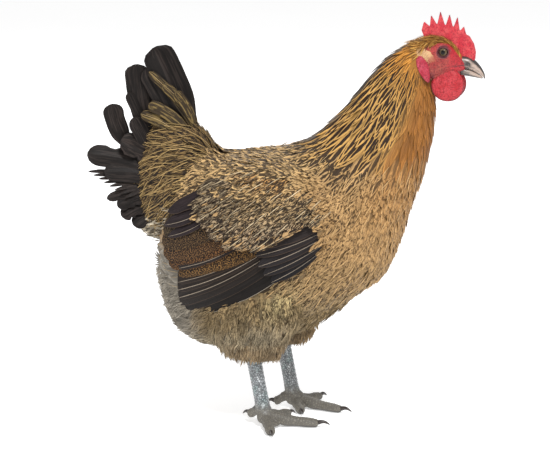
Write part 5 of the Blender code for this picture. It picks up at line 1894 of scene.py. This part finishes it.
@dataclass
class Comb:
    """The single upright comb with its row of points, granular and thinner towards them."""

    low_half: float = 3.2
    top_half: float = 0.9
    voxel: float = 0.6

    def build(self) -> Object:
        """Extrudes the outline, rounds it and raises its granules."""
        comb = start_piece(
            "comb_flesh", bpy.ops.mesh.primitive_circle_add, vertices=len(COMB_OUTLINE), fill_type="NGON")
        outline = np.array(COMB_OUTLINE)
        set_points(comb, stacked(outline[:, 0], -3.0, outline[:, 1]))
        edit_all(
            comb,
            lambda: bpy.ops.mesh.extrude_region_move(TRANSFORM_OT_translate={"value": (0, 6 * MM, 0)}),
            lambda: bpy.ops.mesh.select_all(action="SELECT"),
            lambda: bpy.ops.mesh.quads_convert_to_tris(),
            OUTWARDS,
        )
        apply_modifier(comb, "REMESH", mode="VOXEL", voxel_size=self.voxel * MM)
        apply_modifier(comb, "SMOOTH", factor=0.5, iterations=2)
        points = get_points(comb)
        share = np.clip((points[:, 2] - 380) / (413 - 380), 0, 1)
        half = self.low_half + (self.top_half - self.low_half) * share
        points[:, 1] *= half / 3.0
        points[:, 1] += 0.8 * np.sin((points[:, 0] - 150) / 11) * share
        grain = 0.32 * noise_at(points, 1.6, 8) + 0.3 * noise_at(points, 3.6, 9)
        points[:, 1] += np.sign(points[:, 1]) * grain * smooth(np.abs(points[:, 1]), 0.2, 0.8)
        set_points(comb, points)
        tips = np.interp(points[:, 0], *COMB_TIPS)
        bare_attributes(comb, 0.6 * smooth(points[:, 2], tips - 2.5, tips + 2))
        shade(comb, 80)
        return finish_piece(comb, COMB_SKIN.material(), "red_skin", "comb")


def bare_attributes(piece: Object, dark: Array | float = 0.0) -> None:
    """Marks a piece of flesh as bare all over, dusky by a share."""
    none = np.zeros(len(piece.data.vertices))
    add_attributes(piece, ground=np.full((len(none), 3), 0.3), feathered=none, ring=none + dark)


@dataclass
class FaceFlaps:
    """The wattle and the earlobe of one side."""

    side: Side

    def flap(
        self, name: str, centre: Array, size: Array, lean: float, fold: float, grain: float,
        taper: float, material: Material, node: str,
    ) -> Object:
        """A soft flap: a flattened ball with a full rim, folds, granules and painted shade along its lower rim.
        """
        piece = start_piece(
            f"{name}_{self.side.word}", bpy.ops.mesh.primitive_uv_sphere_add, segments=112, ring_count=84,
            radius=1)
        ball = read(piece)[:, (0, 2, 1)]
        local = ball * size
        local[:, 0] *= 1 + taper * ball[:, 2]
        reach = np.hypot(ball[:, 0], ball[:, 2])
        local[:, 1] *= 1 + 0.35 * bell((reach - 0.8, 0.15))
        local[:, 1] += fold * np.sin(local[:, 0] / 5.5 + local[:, 2] / 9) * smooth(reach, 0, 0.7)
        x = local[:, 0] * math.cos(lean) - local[:, 2] * math.sin(lean)
        z = local[:, 0] * math.sin(lean) + local[:, 2] * math.cos(lean)
        points = stacked(centre[0] + x, self.side * (centre[1] + local[:, 1]), centre[2] + z)
        face = np.sign(local[:, 1])
        points[:, 1] += self.side * face * grain * (
            noise_at(points, 1.8, 12) + 0.7 * noise_at(points, 4.5, 13)) * smooth(np.abs(ball[:, 1]), 0.1, 0.5)
        set_points(piece, points)
        edit_all(piece, OUTWARDS)
        # Painted shade: the flap darkens along its lower rim, where it turns under.
        bare_attributes(piece, 0.85 * smooth(reach, 0.9, 1.0) * smooth(ball[:, 2], 0.4, -0.3))
        shade(piece, 80)
        return finish_piece(piece, material, "red_skin", f"{node}_{self.side.word}")

    def build(self, wattle: Material, lobe: Material) -> None:
        """Makes both flaps."""
        self.flap("wattle_flesh", WATTLE, WATTLE_SIZE, 0.0, 0.8, 0.5, -0.04, wattle, "wattle")
        self.flap("earlobe_flesh", EARLOBE, EARLOBE_SIZE, EARLOBE_LEAN, 0.4, 0.35, 0.3, lobe, "earlobe")


@dataclass
class Bill:
    """The hooked upper bill over the lower one."""

    def half(self, name: str, rows: Array, upper: bool, material: Material) -> Object:
        """One half as a loft whose lower or upper edge is a cutting rim."""

        def place(u: Array, v: Array) -> Array:
            along = np.clip(v * 1.08 - 0.04, 0, 1) * (len(rows) - 1)
            x, top, low, wide = np.moveaxis(spline(rows, along), -1, 0)
            open_share = closing(v, 12, 9)
            turn = u * TAU
            cos, sin = np.cos(turn), np.sin(turn)
            edge = -cos if upper else cos
            rim = np.where(edge > 0, np.sign(edge) * np.abs(edge) ** 0.45, edge)
            side = np.sign(sin) * np.abs(sin) ** np.where(edge > 0, 0.75, 1.0)
            z = (top + low) / 2 + (top - low) / 2 * (-rim if upper else rim) * open_share
            return stacked(x, wide * side * open_share, z)

        piece = wrapped_grid(name, 56, 64, place)
        points = get_points(piece)
        x, y, z = points.T
        row = spline(rows, np.interp(x, rows[:, 0], np.arange(len(rows))))
        share = np.clip((z - row[:, 2]) / np.maximum(row[:, 1] - row[:, 2], 0.5), 0, 1)
        if upper:
            nostril = bell((x - 181.5, 1.9), (z - 366.0 + 0.35 * (x - 181.5), 0.6))
            flank = np.clip(np.abs(y) / np.maximum(row[:, 3], 0.5), 0, 1)
            points[:, 1] -= np.sign(y) * 1.5 * nostril * flank
            groove = bell((share - 0.34, 0.08)) * smooth(x, 196, 186)
            points[:, 1] -= np.sign(y) * 0.28 * groove
            # Painted shade: darker in the nostril's hollow and along the groove; the darker ridge, base and tip
            # are the horn's own colour.
            tone = 0.95 - 0.3 * bell((share - 0.3, 0.1)) - 0.9 * smooth(
                share, 0.5 + 0.25 * smooth(x, 190, 180), 0.95)
            tone = tone * (1 - 0.45 * smooth(x, 190, 180)) * (1 - 0.6 * smooth(x, 195, 197.5)) - 0.9 * nostril
        else:
            tone = 0.3 + 0.6 * smooth(share, 0.1, 0.7) * smooth(x, 174, 188)
            tone = tone * (1 - 0.4 * smooth(x, 193, 195.5))
        set_points(piece, points)
        add_attributes(piece, tone=tone)
        shade(piece, 50)
        return finish_piece(piece, material, "bill_horn", "bill_upper" if upper else "bill_lower")

    def build(self) -> None:
        """Makes both halves."""
        material = BILL_HORN.material()
        self.half("upper_bill_horn", UPPER_BILL, True, material)
        self.half("lower_bill_horn", LOWER_BILL, False, material)


@dataclass
class Eye:
    """One eyeball with its iris, pupil and bulging clear front."""

    side: Side

    def build(self, material: Material) -> Object:
        """Makes the ball."""
        piece = start_piece(
            f"eyeball_{self.side.word}", bpy.ops.mesh.primitive_uv_sphere_add, segments=64, ring_count=48,
            radius=1)
        ball = read(piece)[:, (0, 2, 1)]
        away = np.hypot(ball[:, 0], ball[:, 2]) * EYE_RADIUS
        front = ball[:, 1] > 0
        bulge = np.where(front, 0.35 * np.clip(1 - (away / 3.9) ** 2, 0, 1), 0)
        local = ball * EYE_RADIUS
        local[:, 1] += bulge
        centre = np.array((EYE.x, EYE.y, EYE.z))
        points = (centre + local) * np.array((1, self.side, 1))
        set_points(piece, points)
        edit_all(piece, OUTWARDS)
        add_attributes(piece, away=np.where(front, away, 5.0))
        shade(piece, 80)
        return finish_piece(piece, material, "eye", f"eye_{self.side.word}")


# Legs

TOES = {
    Side.RIGHT: {"back": (207, 21, 4.8, 5), "inner": (-56, 33, 5.0, 3), "middle": (-6, 53, 5.6, 0.4),
                 "outer": (70, 39, 5.0, 0)},
    Side.LEFT: {"back": (184, 21, 4.6, 1), "inner": (-66, 31, 4.8, 0), "middle": (-14, 53, 5.4, 0),
                "outer": (60, 41, 4.8, 0)},
}
TOE_HEIGHTS = ((0, 11.0), (0.2, 8.8), (0.38, 6.3), (0.58, 5.2), (0.8, 4.5), (1, 3.6))
BACK_TOE_HEIGHTS = ((0, 15), (0.3, 12.5), (0.5, 10), (0.7, 7.4), (0.86, 5.4), (1, 4.2))
CLAW_LENGTH = {"back": 9, "inner": 9, "middle": 12, "outer": 10}
CLAW_RADIUS = 2.7
HOCK, ANKLE, BALL = np.array((-29, 38, 92.0)), np.array((-15, 38, 18.0)), np.array((-12.5, 38, 10.5))


@dataclass
class Leg:
    """One scaled shank with its four toes and claws."""

    side: Side
    voxel: float = 0.62

    def placed(self, points: Array) -> Array:
        """Points of the right leg's pattern moved to this side and step."""
        moved = points + np.array((FORWARD_STEP[self.side], 0, 0))
        return moved * np.array((1, self.side, 1))

    def tube(
        self, name: str, path: Array, deep: Array, broad: Array, around: int = 28, rows: int = 60,
    ) -> Object:
        """A closed tube along a path of places, with its half sizes there."""
        table = np.concatenate([path, deep[:, None], broad[:, None]], axis=1)

        def place(u: Array, v: Array) -> Array:
            row = spline(table, v * (len(table) - 1))
            ahead = spline(table, np.clip(v + 0.01, 0, 1) * (len(table) - 1))[:, :3]
            behind = spline(table, np.clip(v - 0.01, 0, 1) * (len(table) - 1))[:, :3]
            way = unit(ahead - behind)
            level = np.where(np.abs(way[:, 2:]) > 0.85, np.array([[0.0, 1.0, 0.0]]), np.cross(
                np.broadcast_to(np.array((0.0, 0.0, 1.0)), way.shape), way))
            level = unit(level - way * dot(level, way))
            up = np.cross(way, level)
            end = np.sqrt(np.clip(1 - (1 - np.clip(v * rows / 4, 0, 1)) ** 2, 0, 1)) * np.sqrt(
                np.clip(1 - (1 - np.clip((1 - v) * rows / 4, 0, 1)) ** 2, 0, 1))
            turn = u * TAU
            return self.placed(
                row[:, :3] + level * (row[:, 4] * end * np.cos(turn))[:, None]
                + up * (row[:, 3] * end * np.sin(turn))[:, None])

        return wrapped_grid(name, around, rows, place)

    def toe_path(self, toe: str) -> tuple[Array, Array, float]:
        """The places along one toe, its heading and its half width."""
        heading, length, half, lift = TOES[self.side][toe]
        turn = math.radians(heading)
        way = np.array((math.cos(turn), math.sin(turn), 0.0))
        share, high = np.array(BACK_TOE_HEIGHTS if toe == "back" else TOE_HEIGHTS).T
        upward = np.array((0, 0, 1.0)) * (high[:, None] + lift)
        places = BALL * (1, 1, 0) + way * (share * length)[:, None] + upward
        return places, way, half

    def foot_and_shank(self, material: Material) -> Object:
        """The scaled leg, fused to one skin with its plates modelled in."""
        share = np.linspace(0, 1, 9)
        path = np.concatenate([HOCK + (ANKLE - HOCK) * share[:, None], BALL[None] + (-1.0, 0, 1.5)])
        swell = np.append(1 + 0.18 * (1 - share) ** 1.5 + 0.12 * share**6, 1.3)
        shank = self.tube(f"scaled_leg_{self.side.word}", path, 6.8 * swell, 5.8 * swell, 40, 90)
        parts = []
        ball_path = BALL + np.array(((-8.5, 0, 1.0), (-4, 0, 0.5), (0, 0, 0), (4, 0, -0.5), (8.5, 0, -2.0)))
        size = np.array((6.0, 8.4, 8.8, 8.0, 5.0))
        parts.append(self.tube("ball", ball_path, size * 0.98, size, 28, 24))
        ways = {}
        for toe in TOES[self.side]:
            places, ways[toe], half = self.toe_path(toe)
            t = np.linspace(0, 1, len(places))
            wide = half * (1.16 - 0.2 * t) * (0.96 + 0.07 * np.cos(5 * math.pi * t))
            high = np.minimum(wide * 0.95, places[:, 2] - 0.1)
            parts.append(self.tube(toe, places, high, wide, 28, 60))
        for one, other in (("inner", "middle"), ("middle", "outer")):
            between = unit((ways[one] + ways[other])[None])[0]
            places = BALL * (1, 1, 0) + between * np.array((0, 6, 11, 16.0))[:, None] + ((0, 0, 7), (0, 0, 6), (
                0, 0, 4.6), (0, 0, 3.6))
            parts.append(self.tube(
                "web", places, np.array((5, 4.4, 3.0, 1.6)), np.array((7, 7.5, 7, 5.0)), 24, 30))
        join_into(shank, parts)
        apply_modifier(shank, "REMESH", mode="VOXEL", voxel_size=self.voxel * MM)
        apply_modifier(shank, "SMOOTH", factor=0.5, iterations=3)
        self.carve(shank)
        shade(shank, 70)
        return finish_piece(
            shank, material, "leg_scale", f"shank_{self.side.word}", f"foot_{self.side.word}")

    def carve(self, piece: Object) -> None:
        """Raises overlapping plates down the shank's front and along the toes' tops, and stores their dark seams,
        painted shade low on the toes and a painted highlight down the shank.
        """
        points = get_points(piece)
        local = points * np.array((1, self.side, 1)) - np.array((FORWARD_STEP[self.side], 0, 0))
        normal = read(piece, "normal")
        rise, relief = np.zeros(len(points)), np.zeros(len(points))
        up_share = (local[:, 2] - ANKLE[2]) / (HOCK[2] - ANKLE[2])
        axis = ANKLE + (HOCK - ANKLE) * up_share[:, None]
        rel = local - axis
        turn = np.arctan2(rel[:, 1], rel[:, 0])
        on_shank = smooth(up_share, -0.08, 0.06)
        row = up_share * 15 + 0.5 * (np.abs(turn) > 0.75)
        phase = row - np.floor(row)
        front = np.abs(turn) < 1.5
        plate = np.where(front, phase, (row * 1.6) % 1)
        seam = bell((plate - 0.04, 0.07)) + bell((plate - 1.04, 0.07))
        column = bell((np.abs(turn) - 0.75, 0.06)) + bell((np.abs(turn) - 1.5, 0.06))
        cut = np.clip(seam + column, 0, 1)
        rise += on_shank * (0.42 * (1 - plate) - 0.4 * cut)
        relief = np.maximum(relief, 0.6 * on_shank * np.clip(seam + 0.3 * column, 0, 1))
        best = np.full(len(points), 1e9)
        along = np.zeros(len(points))
        top = np.zeros(len(points))
        for toe in TOES[self.side]:
            places, way, half = self.toe_path(toe)
            from_ball = (local - BALL) @ way
            level = np.array((-way[1], way[0], 0.0))
            off = np.abs((local - BALL) @ level)
            length = TOES[self.side][toe][1]
            near = (from_ball > 3) & (off < best)
            best = np.where(near, off, best)
            along = np.where(near, from_ball, along)
            top = np.where(near, smooth(normal[:, 2], 0.15, 0.6) * (off < half * 1.2), top)
        phase = (along / 3.1) % 1
        seam = bell((phase - 0.05, 0.10)) + bell((phase - 1.05, 0.10))
        on_toe = (1 - on_shank) * top * (best < 7)
        rise += on_toe * (0.32 * (1 - phase) - 0.4 * seam)
        relief = np.maximum(relief, 0.7 * on_toe * np.clip(seam, 0, 1))
        pads = (1 - on_shank) * smooth(-normal[:, 2], 0.1, 0.6)
        rise += 0.15 * noise_at(local, 2.0, 20) * (1 - on_shank * 0.5)
        points = points + normal * (rise * (1 - pads))[:, None]
        points[:, 2] = np.maximum(points[:, 2], 0.05)
        set_points(piece, points)
        # Painted shade: the relief mark also darkens the toes low down, near the floor.
        relief = np.maximum(relief, 0.75 * smooth(local[:, 2], 4.5, 1.0))
        # Painted highlight: the pale mark lights a band down both sides of the shank's front, in patches.
        patchy = smooth(noise_at(local * (1, 1, 0.6), 3.0, 21), -0.2, 0.4)
        add_attributes(
            piece, relief=np.clip(relief, 0, 1), height=smooth(local[:, 2], 14, 30),
            pale=0.75 * on_shank * patchy * bell((np.abs(turn) - 1.25, 0.32)))

    def claw(self, toe: str, material: Material) -> Object:
        """One curved claw, ridged on top and pointed."""
        places, way, _ = self.toe_path(toe)
        length = CLAW_LENGTH[toe]
        share = np.linspace(0, 1, 8)
        start = places[-1] - way * 1.5 + np.array((0, 0, 0.5))
        path = start + way * (share * (length + 1.5))[:, None] + np.array((0, 0, 1.0)) * (
            2.4 * np.sin(math.pi * share * 0.8) - 3.6 * share**2)[:, None]
        radius = CLAW_RADIUS * (1 - share) ** 0.7 * 0.95 + 0.12
        piece = self.tube(f"claw_horn_{toe}_{self.side.word}", path, radius, radius * 0.8, 20, 30)
        points = get_points(piece)
        points[:, 2] = np.maximum(points[:, 2], 0.05)
        set_points(piece, points)
        add_attributes(piece, tone=smooth(points[:, 2], 1.0, 4.5))
        shade(piece, 60)
        return finish_piece(piece, material, "claw_horn", f"claw_{toe}_{self.side.word}")

    def build(self, scales: Material, horn: Material) -> None:
        """Makes the leg and its claws."""
        self.foot_and_shank(scales)
        for toe in TOES[self.side]:
            self.claw(toe, horn)


# The room

@dataclass
class Studio:
    """A pale floor, soft light and the camera at the photograph's angle."""

    azimuth: float = math.radians(12)
    elevation: float = math.radians(11)
    target: Vector = field(default_factory=lambda: Vector((-11.0, 0.0, 197.0)))
    distance: float = 2400.0
    lens: float = 157.09

    def camera(self) -> None:
        """Places the camera."""
        data = bpy.data.cameras.new("camera")
        data.lens = self.lens
        data.sensor_width = 36.0
        data.clip_end = 20.0
        eye = link("camera", data)
        forward = Vector((
            -math.sin(self.azimuth) * math.cos(self.elevation), math.cos(self.azimuth) * math.cos(self.elevation),
            -math.sin(self.elevation)))
        eye.location = (self.target + SHIFT - forward * self.distance) * MM
        eye.rotation_euler = forward.to_track_quat("-Z", "Y").to_euler()
        bpy.context.scene.camera = eye

    def floor(self) -> None:
        """Lays the floor."""
        floor = start_piece(
            "floor", bpy.ops.mesh.primitive_circle_add, vertices=96, radius=30.0, fill_type="NGON")
        made, put, shader = start_material("pale_floor")
        tone = put("TexNoise", Vector=put("TexCoord", out="Object"), Scale=3.0, Detail=2.0)
        connect(shader, {
            "Base Color": put("MixRGB", tone, "#f6f6f6", "#fafafa"), "Roughness": 0.9,
            "Specular IOR Level": 0.1, "Emission Color": (1, 1, 1, 1), "Emission Strength": 0.42})
        floor.data.materials.append(made)

    def light(self, name: str, place: tuple[float, float, float], size: float, power: float) -> None:
        """Hangs one square soft light that looks at the hen."""
        data = bpy.data.lights.new(name, "AREA")
        data.size = size
        data.energy = power
        lamp = link(name, data)
        lamp.location = place
        lamp.rotation_euler = (Vector((0, 0, 0.2)) - Vector(place)).to_track_quat("-Z", "Y").to_euler()

    def build(self) -> None:
        """Sets up the whole room."""
        self.camera()
        self.floor()
        world = bpy.data.worlds.new("room")
        bpy.context.scene.world = world
        world.use_nodes = True
        put = partial(add_node, world.node_tree)
        room, backdrop = (put("Background", Color=(1, 1, 1, 1), Strength=power) for power in (0.52, 1.0))
        seen = put("LightPath", out="Is Camera Ray")
        connect(world.node_tree.nodes["World Output"], {0: put("MixShader", seen, room, backdrop)})
        for light in (("key", (1.0, -1.8, 2.8), 0.8, 88), ("fill", (-2.2, -1.6, 1.2), 2.0, 12),
                      ("back", (-0.6, 2.2, 1.8), 2.0, 24)):
            self.light(*light)
        bpy.context.scene.view_settings.view_transform = "Standard"


@dataclass
class Hen:
    """The whole hen."""

    def build(self) -> None:
        """Builds every part in order."""
        finishes = {
            "primary": PRIMARY.material(), "secondary": SECONDARY.material(), "mottled": MOTTLED.material(),
            "bow": BOW.material(), "tail": TAIL_FINISH.material(), "edged": PALE_PRIMARY.material(),
        }
        Skin().build()
        BodyCoat().build()
        TailFan().build(finishes["tail"], finishes["mottled"])
        wattle, lobe, eye = WATTLE_SKIN.material(), LOBE_SKIN.material(), EyeFinish().material()
        scales, horn = ScaleFinish().material(), CLAW_HORN.material()
        Comb().build()
        Bill().build()
        for side in Side:
            Wing(side).build(finishes)
            FaceFlaps(side).build(wattle, lobe)
            Eye(side).build(eye)
            Leg(side).build(scales, horn)


def main() -> None:
    """Builds the room and the hen."""
    logging.basicConfig(level=logging.INFO, format="%(message)s")
    Studio().build()
    Hen().build()


if __name__ == "__main__":
    main()
